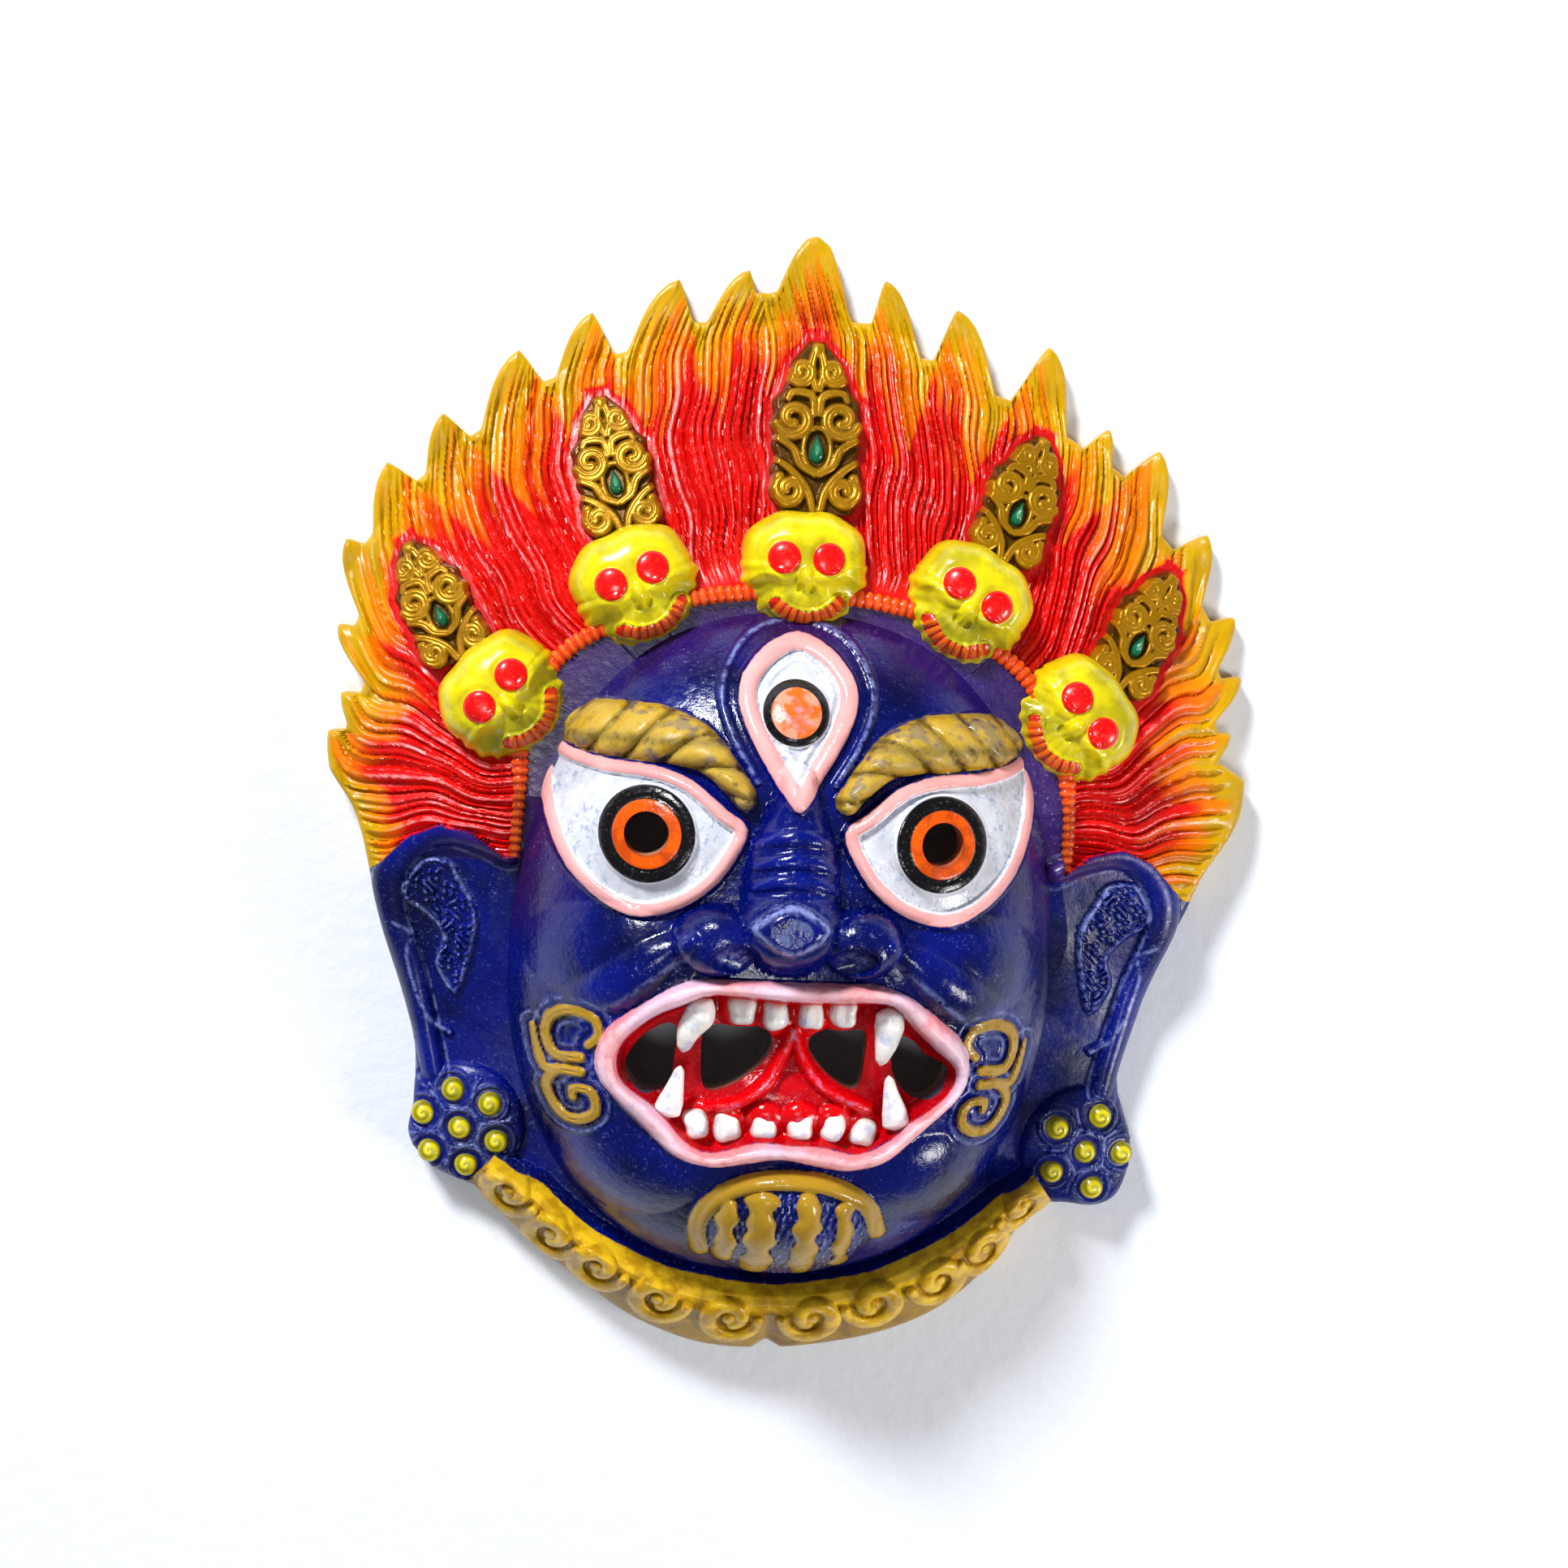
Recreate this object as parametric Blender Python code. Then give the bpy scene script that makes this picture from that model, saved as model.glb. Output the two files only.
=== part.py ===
"""Wrathful protector mask, cast in one piece of resin with a hollow back.

The mask lies on its flat back rim, face up: X to its left-hand side as seen,
Y from chin to crown, Z out through the nose. The carving is laid out on a
drawing 205 units tall, as a height for every point of the plan, so one
drawing unit is HEIGHT / 205. Walls and bores have real sizes of their own.
"""

import math

import bmesh
import bpy
import numpy as np
from mathutils import Vector
from mathutils.geometry import delaunay_2d_cdt

# Driving dimensions, in metres
HEIGHT = 0.200
WALL = 0.0040
RIM_LAND = 0.0054
EDGE_HEIGHT = 0.0041
EDGE_ROUND = 0.0014
FACE_DEPTH = 0.0420
BAND_DEPTH = 0.0195
PUPIL_RADIUS = 0.0037

# The drawing, in units
HUB = (0.0, -5.0)
FACE_CENTRE = (0.5, -27.0)
FACE_HALF_WIDTH = 50.0
FACE_UP = 63.5
FACE_DOWN = 62.0
FACE_SQUARENESS = 2.3
FACE_FOOT = 7.0
FLAME_REACH = 90.0
FLAME_LOCKS = 60
FLAME_UPTURN = 42.0
LOCK_START = 48.0
HALO_SPAN = (-6.0, 186.0)
LOCK_DEPTH = 2.1
BEARD_NOTCH = (270.8, 1.8, 1.6)

# Each flame of the halo, from the left ear over the top to the right ear:
# the direction and reach of its tip, then of the notch that follows it.
FLAMES = (
    (171.2, 83.6, 170.0, 80.4),
    (166.2, 82.8, 164.2, 79.2),
    (158.6, 87.6, 156.8, 84.6),
    (149.6, 93.6, 147.6, 90.2),
    (140.2, 96.0, 138.4, 89.6),
    (132.2, 95.4, 130.2, 88.8),
    (121.6, 97.0, 119.6, 89.6),
    (112.8, 97.6, 110.8, 88.8),
    (103.0, 99.2, 101.0, 90.8),
    (95.6, 99.4, 94.0, 95.0),
    (88.8, 105.6, 83.2, 91.0),
    (81.6, 99.4, 75.6, 87.2),
    (73.4, 97.9, 65.6, 86.2),
    (62.8, 99.0, 55.6, 87.0),
    (52.2, 93.2, 49.0, 88.4),
    (46.4, 96.9, 38.8, 87.0),
    (35.8, 94.5, 28.8, 86.8),
    (26.0, 91.9, 20.8, 85.0),
    (19.2, 89.3, 14.6, 81.8),
    (12.8, 84.6, 9.4, 81.0),
)
FLAME_ENDS = ((176.0, 82.4), (6.6, 86.4))
TOP_FLAME = (
    (94.3, 95.2), (92.9, 95.4), (92.2, 98.1), (91.0, 102.5), (89.9, 105.0),
    (88.8, 105.6), (87.4, 103.7), (86.2, 98.7), (85.0, 92.9), (84.3, 90.9),
)
STEEP_SIDE = ((0.05, 0.60), (0.20, 0.04))
TIP_ROUND_DEG = 0.22

# Ears, ear ornaments and jaw trim: direction and reach of the outline.
RIGHT_SIDE = (
    (2.4, 85.3), (-0.8, 83.0), (-5.2, 79.1), (-9.7, 77.2), (-20.3, 75.3),
    (-32.5, 78.3), (-37.3, 82.4), (-41.0, 90.0), (-46.0, 95.2), (-48.6, 94.6),
    (-51.9, 89.6), (-55.1, 88.6),
)
LEFT_SIDE = (
    (235.2, 89.4), (232.0, 88.8), (227.3, 90.7), (222.7, 89.8), (219.5, 84.6),
    (212.6, 78.3), (202.1, 75.7), (189.3, 75.3), (181.4, 77.2),
)
JAW_TRIM = (
    (241.0, 91.2), (248.8, 93.9), (255.4, 97.3), (263.3, 99.8), (270.0, 100.0),
    (277.0, 99.6), (284.0, 99.0), (290.4, 97.4), (297.4, 93.4), (302.4, 89.6),
)

# Features of the right half, mirrored to the left
EYE_LOOP = (
    (8.6, -4.6), (12.1, -1.7), (17.8, 2.9), (24.4, 5.0), (32.4, 5.5), (39.0, 7.0), (43.0, 8.6),
    (43.6, 2.2), (42.4, -4.4), (39.4, -11.0), (35.4, -15.4), (30.7, -18.4), (25.4, -19.6),
    (19.2, -17.9), (14.1, -14.3), (10.6, -9.7),
)
IRIS = (25.1, -6.0)
IRIS_RADIUS = 8.4
IRIS_LIFT = 1.5
LID_HALF_WIDTH = 1.5
BROW = ((8.6, 0.6), (11.0, 3.6), (15.5, 8.0), (21.5, 10.3), (28.5, 11.0), (36.0, 11.3), (42.5, 11.4))
BROW_WIDTHS = (2.2, 2.8, 4.2, 5.0, 5.0, 4.6, 2.2)
THIRD_EYE = ((0.0, 28.8), (5.6, 26.2), (9.3, 21.5), (10.0, 17.0), (8.2, 11.5), (5.0, 5.8), (2.0, 1.2), (0.0, -0.8))
THIRD_IRIS = (-0.4, 15.2)
THIRD_IRIS_RADIUS = 5.9
MOUTH = (
    (0.0, -29.8), (8.0, -29.8), (15.0, -30.0), (20.0, -31.7), (25.6, -35.6), (30.6, -40.0), (32.4, -44.6),
    (31.4, -49.4), (26.4, -54.4), (21.6, -58.8), (17.6, -61.8), (12.0, -63.3), (6.0, -62.4), (0.0, -61.3),
)
LIP_HALF_WIDTH = 2.1
LIP_HEIGHT = 2.6
MOUTH_SINK = 6.0
MOUTH_HOLES = (
    ((-27.1, -47.0), (-25.0, -42.4), (-21.0, -39.2), (-18.5, -39.6), (-18.7, -45.0), (-19.6, -50.2), (-24.0, -51.1)),
    ((-13.6, -39.3), (-8.2, -38.5), (-3.2, -39.0), (-2.1, -42.4), (-5.2, -46.7), (-9.9, -49.7), (-13.4, -49.9), (-14.2, -44.6)),
    ((5.2, -39.2), (9.5, -38.7), (13.9, -39.2), (14.0, -44.0), (13.2, -49.0), (10.6, -48.9), (6.9, -46.1), (4.2, -42.2)),
    ((19.2, -39.9), (22.6, -40.9), (25.2, -43.4), (28.9, -45.6), (28.0, -49.3), (25.0, -51.4), (21.6, -50.1), (18.9, -45.6)),
)
UPPER_TEETH = ((-7.6, -35.4), (-1.9, -36.2), (4.2, -35.9), (9.7, -35.5))
LOWER_TEETH = ((-14.5, -56.1), (-9.2, -56.4), (-2.9, -55.8), (3.2, -55.5), (9.0, -55.7), (14.4, -56.8))
TOOTH_HALF = (2.3, 2.7)
TOOTH_HEIGHT = 4.6
UPPER_FANG = ((15.6, -33.2), (17.0, -37.0), (17.0, -43.6))
UPPER_FANG_WIDTHS = (2.9, 2.3, 0.9)
LOWER_FANG = ((20.0, -55.2), (18.6, -51.0), (17.8, -46.4))
LOWER_FANG_WIDTHS = (2.6, 1.8, 0.8)
TONGUE = ((1.2, -38.2), (2.6, -43.0), (5.4, -48.2), (10.0, -51.6), (14.4, -53.0))
CHEEK_FOLD = ((17.5, -23.0), (23.0, -27.0), (29.5, -32.4), (35.0, -36.0))
UPPER_CURL = ((34.9, -45.8), (39.6, -46.0), (41.3, -42.4), (39.4, -38.4), (35.4, -37.6), (32.2, -39.6), (33.3, -43.3))
LOWER_CURL = ((34.9, -48.4), (39.2, -49.0), (41.0, -52.4), (38.6, -56.8), (34.4, -57.6), (31.8, -54.4), (34.4, -51.4), (36.2, -53.0))
CURL_STALK = ((43.8, -41.6), (42.6, -46.2), (40.4, -49.2))
NOSE_WRINKLES = (-5.4, -9.2, -12.6)
CHIN = (2.4, -75.6)
CHIN_RADII = (16.0, 12.5)
CHIN_ARCH = ((-12.6, -81.0), (-13.4, -74.4), (-9.6, -68.2), (-2.2, -65.0), (7.9, -65.4), (15.6, -69.8), (18.6, -76.4))
CHIN_LOCKS = (-7.8, -2.6, 4.4, 11.6)
HELIX = ((49.0, -12.6), (55.0, -10.0), (61.3, -9.0), (67.0, -11.8), (70.6, -18.0), (70.0, -26.0), (66.8, -35.0), (63.8, -46.0), (61.8, -54.0))
ANTIHELIX = ((64.8, -20.4), (60.0, -16.8), (56.8, -22.4), (58.4, -29.6), (58.4, -36.6), (57.0, -44.0))
ORNAMENTS = (((-56.5, -63.4), 6, 41.0), ((58.6, -64.8), 5, 69.0))
ORNAMENT_RING = 7.1
ORNAMENT_DOT = 2.2
BAND_ARCH = ((51.0, -14.0), (50.2, 0.0), (48.2, 10.5), (43.4, 20.0), (35.8, 27.0), (20.0, 33.6), (0.0, 36.4))
# Skulls of the crown: place, and lean from upright in degrees
SKULLS = (((-50.6, 15.2), 48.0), ((-28.4, 35.6), 25.0), ((1.0, 39.8), 0.0), ((30.4, 35.0), -30.0), ((50.8, 15.2), -51.0))
SKULL_RADII = (11.2, 10.4)
SKULL_HEIGHT = 8.5
SOCKET = (3.6, 1.9, 2.6)
SKULL_GRIN = ((-6.4, -4.4), (-3.6, -7.0), (0.0, -7.9), (3.6, -7.0), (6.4, -4.4))
# Finials behind the skulls: foot, tip and half width
FINIALS = (
    ((-58.6, 21.6), (-69.8, 42.2), 6.9),
    ((-30.6, 44.8), (-36.4, 69.8), 7.4),
    ((2.8, 49.8), (2.6, 81.8), 8.5),
    ((36.4, 43.2), (44.8, 66.4), 7.2),
    ((58.2, 21.2), (70.0, 42.8), 6.9),
)
FINIAL_HEIGHT = 2.6
# Curls and stone of a finial: share of its length, share of its half width, radius in half widths, rise
FINIAL_CURLS = ((0.14, 0.58, 0.38), (0.52, 0.52, 0.44), (0.78, 0.36, 0.30))
STONE = (0.33, 0.19, 0.34)
TRIM_INNER = ((232.0, 80.6), (239.0, 79.6), (247.0, 82.6), (258.0, 85.0), (270.7, 86.0), (283.0, 85.4), (294.0, 83.0), (302.0, 80.4), (307.0, 80.6))
TRIM_HEIGHT = 10.5
TRIM_SCROLLS = 10
SCROLL_RADIUS = 4.0


def curve(points, spans=4, closed=False):
    """A Catmull-Rom curve through the points, with that many steps in each span."""
    p = np.array(points, float)
    ends = (p[-1:], p[:2]) if closed else (2 * p[:1] - p[1:2], 2 * p[-1:] - p[-2:-1])
    q = np.concatenate([ends[0], p, ends[1]])
    t = np.arange(spans)[:, None, None] / spans
    a, b, c, d = q[:-3], q[1:-2], q[2:-1], q[3:]
    made = 0.5 * (2 * b + (c - a) * t + (2 * a - 5 * b + 4 * c - d) * t**2 + (3 * b - a - 3 * c + d) * t**3)
    made = made.transpose(1, 0, 2).reshape(-1, 2)
    return made if closed else np.concatenate([made, p[-1:]])


def mirrored(points):
    return tuple((-x, y) for x, y in points)


def both_halves(points):
    """A closed loop from its right half, whose first and last points lie on the middle line."""
    return tuple(points) + mirrored(points[-2:0:-1])


def ellipse(centre, radii, count, squareness=2.0, turn=0.0):
    """Points round a superellipse, turned by that many degrees."""
    a = np.arange(count) * 2 * math.pi / count
    c, s = np.cos(a), np.sin(a)
    x = radii[0] * np.sign(c) * np.abs(c) ** (2 / squareness)
    y = radii[1] * np.sign(s) * np.abs(s) ** (2 / squareness)
    cos, sin = math.cos(math.radians(turn)), math.sin(math.radians(turn))
    return np.stack([centre[0] + x * cos - y * sin, centre[1] + x * sin + y * cos], 1)


def nearest(p, path):
    """Distance from each point to a path, and how far along the path that is, from 0 to 1."""
    a, b = path[:-1], path[1:]
    ab = b - a
    length = np.hypot(ab[:, 0], ab[:, 1])
    t = ((p[:, None] - a) * ab).sum(2) / np.maximum(length**2, 1e-12)
    t = np.clip(t, 0, 1)
    gap = np.linalg.norm(p[:, None] - (a + ab * t[..., None]), axis=2)
    i = gap.argmin(1)
    row = np.arange(len(p))
    start = np.concatenate([[0], np.cumsum(length)])
    return gap[row, i], (start[i] + t[row, i] * length[i]) / start[-1]


def inside(p, loop):
    """Whether each point lies in the loop, by counting the sides that a ray to the right crosses."""
    a, b = loop, np.roll(loop, -1, axis=0)
    y = p[:, 1][:, None]
    crosses = (a[:, 1] > y) != (b[:, 1] > y)
    rise = np.where(b[:, 1] == a[:, 1], 1e-12, b[:, 1] - a[:, 1])
    x = a[:, 0] + (y - a[:, 1]) * (b[:, 0] - a[:, 0]) / rise
    return (crosses & (p[:, 0][:, None] < x)).sum(1) % 2 == 1


def depth_in(p, loop):
    """Distance inside the loop, negative outside."""
    gap, _ = nearest(p, np.concatenate([loop, loop[:1]]))
    return np.where(inside(p, loop), gap, -gap)


def step(x, low, high):
    t = np.clip((x - low) / (high - low), 0, 1)
    return t * t * (3 - 2 * t)


def ridge(p, path, widths, height):
    """A rounded bead along a path, with half widths given from its start to its end."""
    gap, t = nearest(p, path)
    half = np.interp(t, np.linspace(0, 1, len(widths)), widths)
    return height * np.clip(1 - (gap / half) ** 2, 0, 1) ** 0.6


def bump(p, centre, radii, height, turn=0.0, power=1.0):
    """A rounded boss over an ellipse, or a pit where height is negative."""
    c, s = math.cos(math.radians(turn)), math.sin(math.radians(turn))
    x, y = (p - centre).T
    u, v = (x * c + y * s) / radii[0], (y * c - x * s) / radii[1]
    return height * np.clip(1 - u * u - v * v, 0, 1) ** power


def boss(p, centre, radii, height, squareness=2.0, turn=0.0, power=0.4):
    """A raised pad with steep sides and a nearly flat top, over a superellipse."""
    c, s = math.cos(math.radians(turn)), math.sin(math.radians(turn))
    x, y = (p - centre).T
    u, v = np.abs(x * c + y * s) / radii[0], np.abs(y * c - x * s) / radii[1]
    share = (u**squareness + v**squareness) ** (1 / squareness)
    return height * np.clip(1 - share**3, 0, 1) ** power


def evenly(path, count):
    """The same path with points at even distances."""
    length = np.concatenate([[0], np.cumsum(np.hypot(*np.diff(path, axis=0).T))])
    at = np.linspace(0, length[-1], count)
    return np.stack([np.interp(at, length, path[:, 0]), np.interp(at, length, path[:, 1])], 1)


def polar(p):
    x, y = (p - HUB).T
    a = np.degrees(np.arctan2(y, x))
    return np.where(a < -90, a + 360, a), np.hypot(x, y)


def outline_table():
    """The outline as reach by direction. Each flame climbs gently to its tip on the side away from the top
    and drops steeply into a flat-bottomed notch on the other; a short running mean rounds the corners."""
    knots = [FLAME_ENDS[0]]
    gentle = np.linspace(0, 1, 7)[1:-1]
    for tip, reach, notch, low in FLAMES:
        base_angle, base = knots[-1]
        if reach == max(f[1] for f in FLAMES):
            knots += list(TOP_FLAME)
        elif tip > 90:
            knots += [(base_angle + (tip - base_angle) * g, base + (reach - base) * math.sin(g * math.pi / 2) ** 1.1) for g in gentle]
            knots.append((tip, reach))
            knots += [(tip + (notch - tip) * w, low + (reach - low) * h) for w, h in STEEP_SIDE]
        else:
            knots += [(tip + (base_angle - tip) * w, base + (reach - base) * h) for w, h in STEEP_SIDE[::-1]]
            knots.append((tip, reach))
            knots += [(tip + (notch - tip) * g, low + (reach - low) * math.cos(g * math.pi / 2) ** 1.1) for g in gentle]
        knots.append((notch, low))
    knots.append(FLAME_ENDS[1])
    soft = curve(RIGHT_SIDE[::-1] + FLAME_ENDS[1:], 6)
    left = curve(FLAME_ENDS[:1] + LEFT_SIDE[::-1], 6)
    trim = curve((LEFT_SIDE[0],) + JAW_TRIM + ((RIGHT_SIDE[-1][0] + 360, RIGHT_SIDE[-1][1]),), 6)
    angle = np.arange(-90, 270, 0.1)
    flames = np.array(sorted(knots))
    reach = np.interp(angle, flames[:, 0], flames[:, 1])
    for part in (soft, left, trim, trim - (360, 0)):
        part = part[np.argsort(part[:, 0])]
        held = (angle >= part[0, 0]) & (angle <= part[-1, 0])
        reach[held] = np.interp(angle[held], part[:, 0], part[:, 1])
    notch, depth, spread = BEARD_NOTCH
    away = np.abs((angle - notch + 180) % 360 - 180)
    reach -= depth * np.clip(1 - away / spread, 0, 1)
    size = 2 * int(TIP_ROUND_DEG / 0.1) + 1
    return angle, np.mean([np.roll(reach, k) for k in range(-(size // 2), size // 2 + 1)], 0)


def simplified(loop, slack):
    """A closed loop with the points that lie within slack of the line between their neighbours taken out."""
    def thin(part):
        a, b = part[0], part[-1]
        line = (b - a) / max(np.hypot(*(b - a)), 1e-9)
        off = np.abs((part[:, 0] - a[0]) * line[1] - (part[:, 1] - a[1]) * line[0])
        k = off.argmax()
        return [a] if off[k] < slack else thin(part[: k + 1]) + thin(part[k:])
    half = len(loop) // 2
    return np.array(thin(loop[: half + 1]) + thin(np.concatenate([loop[half:], loop[:1]])))


def on_spoke(angle, r):
    a = np.radians(angle)
    return np.stack([HUB[0] + r * np.cos(a), HUB[1] + r * np.sin(a)], -1)


ANGLES, REACHES = outline_table()
OUTLINE = simplified(on_spoke(ANGLES, REACHES), 0.25)
MIDDLE = (OUTLINE.min(0) + OUTLINE.max(0)) / 2
UNIT = HEIGHT / np.ptp(OUTLINE[:, 1])


def reach_at(angle):
    return np.interp(angle, ANGLES, REACHES, period=360)


def from_edge(p):
    """Distance in from the outline, measured along the spoke."""
    angle, r = polar(p)
    return reach_at(angle) - r


def band_radius(angle):
    """The crown band's distance from the hub: near the brow at the top, further out at the sides."""
    return 50.0 - 8.4 * np.clip(np.sin(np.radians(angle)), 0, 1) ** 3


def plate_height(p):
    """The sloping ground that carries flames, ears and ornaments, from the outline up to the face."""
    angle, r = polar(p)
    crown = BAND_DEPTH / UNIT
    high = np.interp(angle, (-90, -52, -34, 4, 176, 214, 232, 270), (10.0, 9.0, 11.0, crown, crown, 11.0, 9.0, 10.0))
    beside = step(np.abs(angle - 90), 96, 116)
    inner = band_radius(angle) * (1 - beside) + 57.0 * beside
    inner = inner + 16.0 * step(np.abs(angle - 90), 130, 150)
    outer = FLAME_REACH + (reach_at(angle) - FLAME_REACH) * beside
    low = EDGE_HEIGHT / UNIT
    share = np.clip(1 - (r - inner) / np.maximum(outer - inner, 4.0), 0, 1)
    return low + (high - low) * share**0.85


def dome_share(p, shrink=0.0):
    """The face's superellipse: 0 at its middle and 1 at its border."""
    x, y = (p - FACE_CENTRE).T
    n = FACE_SQUARENESS
    u = np.abs(x) / (FACE_HALF_WIDTH - shrink)
    v = np.where(y > 0, y / (FACE_UP - shrink), -y / (FACE_DOWN - shrink))
    return (u**n + v**n) ** (1 / n)


def dome_height(p, shrink=0.0, sink=0.0):
    share = dome_share(p, shrink)
    crown = FACE_DEPTH / UNIT - sink
    z = FACE_FOOT + (crown - FACE_FOOT) * np.clip(1 - share**2.5, 0, 1) ** 0.56
    return np.where(share < 1, z, -1.0)


MOUTH_LOOP = curve(both_halves(MOUTH), 2, closed=True)
LIP_LOOP = curve([(x * 0.935, -46.4 + (y + 46.4) * 0.885) for x, y in both_halves(MOUTH)], 1, closed=True)
THIRD_EYE_LOOP = curve(both_halves(THIRD_EYE), 2, closed=True)
EYE_LOOPS = [curve(EYE_LOOP, 2, closed=True), curve(mirrored(EYE_LOOP), 2, closed=True)]


def closed_path(loop):
    return np.concatenate([loop, loop[:1]])


def face_ridges():
    """The beads on the face: path, half widths and height of each."""
    found = [(closed_path(LIP_LOOP), (LIP_HALF_WIDTH,) * 2, LIP_HEIGHT + 1.0)]
    found.append((closed_path(THIRD_EYE_LOOP), (1.5, 1.5), 1.6))
    for sign in (1, -1):
        def side(points):
            return [(sign * x, y) for x, y in points]
        found.append((closed_path(curve(side(EYE_LOOP), 2, closed=True)), (LID_HALF_WIDTH,) * 2, 1.8))
        found.append((evenly(curve(side(BROW), 4), 13), BROW_WIDTHS, 5.6))
        found.append((curve(side(CHEEK_FOLD), 2), (2.0, 3.4, 3.4, 1.2), 2.0))
        found.append((curve(side(UPPER_CURL), 2), (1.2, 1.3, 0.9), 1.4))
        found.append((curve(side(LOWER_CURL), 2), (1.2, 1.3, 0.9), 1.4))
        found.append((curve(side(CURL_STALK), 2), (0.7, 1.2, 1.2), 1.2))
    for y in NOSE_WRINKLES:
        found.append((np.array([(-7.0, y - 1.2), (-3.2, y), (0.0, y + 0.4), (3.2, y), (7.0, y - 1.2)]), (0.8, 1.5, 0.8), 0.9))
    found.append((curve(CHIN_ARCH, 2), (1.4, 1.8, 1.4), 1.8))
    for x in CHIN_LOCKS:
        found.append((np.array([(x, -70.4), (x - 0.7, -73.6), (x + 0.4, -77.4), (x, -81.6)]), (1.4, 2.0, 1.4), 2.0))
    return found


def mouth_ridges():
    """Fangs and the folds of the tongue, which stand on the gums inside the lips."""
    found = []
    for sign in (1, -1):
        for path, widths in ((UPPER_FANG, UPPER_FANG_WIDTHS), (LOWER_FANG, LOWER_FANG_WIDTHS)):
            found.append((curve([(sign * x, y) for x, y in path], 2), widths, TOOTH_HEIGHT + 1.4))
        found.append((curve([(0.8 + sign * (x - 0.8), y) for x, y in TONGUE], 2), (1.4, 1.3, 1.3), 2.2))
    return found


def ear_ridges():
    """The rim and the inner fold of each ear."""
    found = []
    for sign in (1, -1):
        found.append((curve([(sign * x, y) for x, y in HELIX], 2), (2.0, 3.4, 3.2, 2.4), 2.6))
        found.append((curve([(sign * x, y) for x, y in ANTIHELIX], 2), (2.6, 3.2, 3.2, 1.4), 2.2))
    return found


FACE_RIDGES = face_ridges()
MOUTH_RIDGES = mouth_ridges()
EAR_RIDGES = ear_ridges()


def face_height(p):
    """The face: a dome with cheeks, nose, eyes, brows, lips and chin on it, and the mouth sunk into it."""
    z = dome_height(p)
    for sign in (1, -1):
        z = z + bump(p, (sign * 31.0, -27.5), (15.0, 9.5), 3.0)
        z = z + bump(p, (sign * 27.0, -66.0), (14.0, 9.0), 2.6)
        z = z + bump(p, (sign * IRIS[0], IRIS[1]), (15.5, 13.0), 2.6)
    z = z + bump(p, CHIN, CHIN_RADII, 6.5, power=0.8)
    bridge = ridge(p, np.array([(0.0, 4.0), (-0.4, -12.0), (-0.5, -20.0)]), (3.0, 7.6, 9.0), 6.0)
    nose = np.maximum(bridge, boss(p, (-0.5, -20.4), (9.6, 7.6), 8.4, power=0.6))
    for sign in (1, -1):
        nose = np.maximum(nose, boss(p, (sign * 11.2 - 1.2, -23.8), (8.0, 5.6), 6.4, power=0.6))
    z = z + nose + boss(p, (-0.6, -20.2), (6.4, 4.2), 2.6, 1.4, power=0.6)
    relief = np.zeros(len(p))
    for path, widths, height in FACE_RIDGES:
        relief = np.maximum(relief, ridge(p, path, widths, height))
    for sign in (1, -1):
        gap, along = nearest(p, evenly(curve([(sign * x, y) for x, y in BROW], 4), 13))
        relief = relief - 1.1 * np.cos(along * 6 * math.pi) ** 2 * step(-gap, -4.6, -2.0) * (along < 0.99)
        gap = np.hypot(p[:, 0] - sign * IRIS[0], p[:, 1] - IRIS[1])
        relief = np.maximum(relief, IRIS_LIFT * (1 - step(gap, IRIS_RADIUS - 0.3, IRIS_RADIUS + 0.3)))
        relief = relief - bump(p, (sign * 10.4, -26.0), (2.6, 1.9), 2.0)
    relief = np.maximum(relief, bump(p, THIRD_IRIS, (THIRD_IRIS_RADIUS,) * 2, 2.6, power=0.5))
    sunk = step(depth_in(p, LIP_LOOP), 0.2, 2.0)
    floor = -MOUTH_SINK + bump(p, (0.8, -52.5), (17.0, 6.0), 2.6)
    teeth = np.zeros(len(p))
    for path, widths, height in MOUTH_RIDGES:
        teeth = np.maximum(teeth, ridge(p, path, widths, height))
    for centre in UPPER_TEETH + LOWER_TEETH:
        teeth = np.maximum(teeth, boss(p, centre, TOOTH_HALF, TOOTH_HEIGHT, 3.0))
    return np.where(dome_share(p) < 1, z + relief * (1 - sunk) + sunk * (floor + teeth), -1.0)


def upturn(root, r):
    """How far a lock that starts on the spoke root has turned upwards at reach r, in degrees. Fire rises,
    so the locks bend towards the top: at once on one side, and mostly near their tips on the other."""
    ends = step(root - HALO_SPAN[0], 0, 30) * step(HALO_SPAN[1] - root, 0, 30)
    beyond = np.log(np.maximum(r, LOCK_START) / LOCK_START)
    turn = np.where(root > 90, beyond**2, beyond)
    return FLAME_UPTURN * np.tanh(1.3 * np.cos(np.radians(root))) * turn * ends


def root_of(angle, r):
    """The spoke on which the lock through a point starts, by halving."""
    low, high = angle - 24.0, angle + 24.0
    for halving in range(15):
        root = (low + high) / 2
        beyond = root + upturn(root, r) > angle
        low, high = np.where(beyond, low, root), np.where(beyond, root, high)
    return (low + high) / 2


FLAME_TIPS = root_of(*np.array([f[:2] for f in FLAMES]).T)
FLAME_NOTCHES = root_of(*np.array(FLAME_ENDS[:1] + tuple(f[2:] for f in FLAMES[:-1])).T)


def flame_of(root):
    """The starting spoke of the lock that runs into each flame's tip, and the reach of its notch."""
    i = np.clip(np.searchsorted(-FLAME_NOTCHES, -np.asarray(root), side="right") - 1, 0, len(FLAMES) - 1)
    return FLAME_TIPS[i], np.array([f[3] for f in FLAMES])[i]


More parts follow.
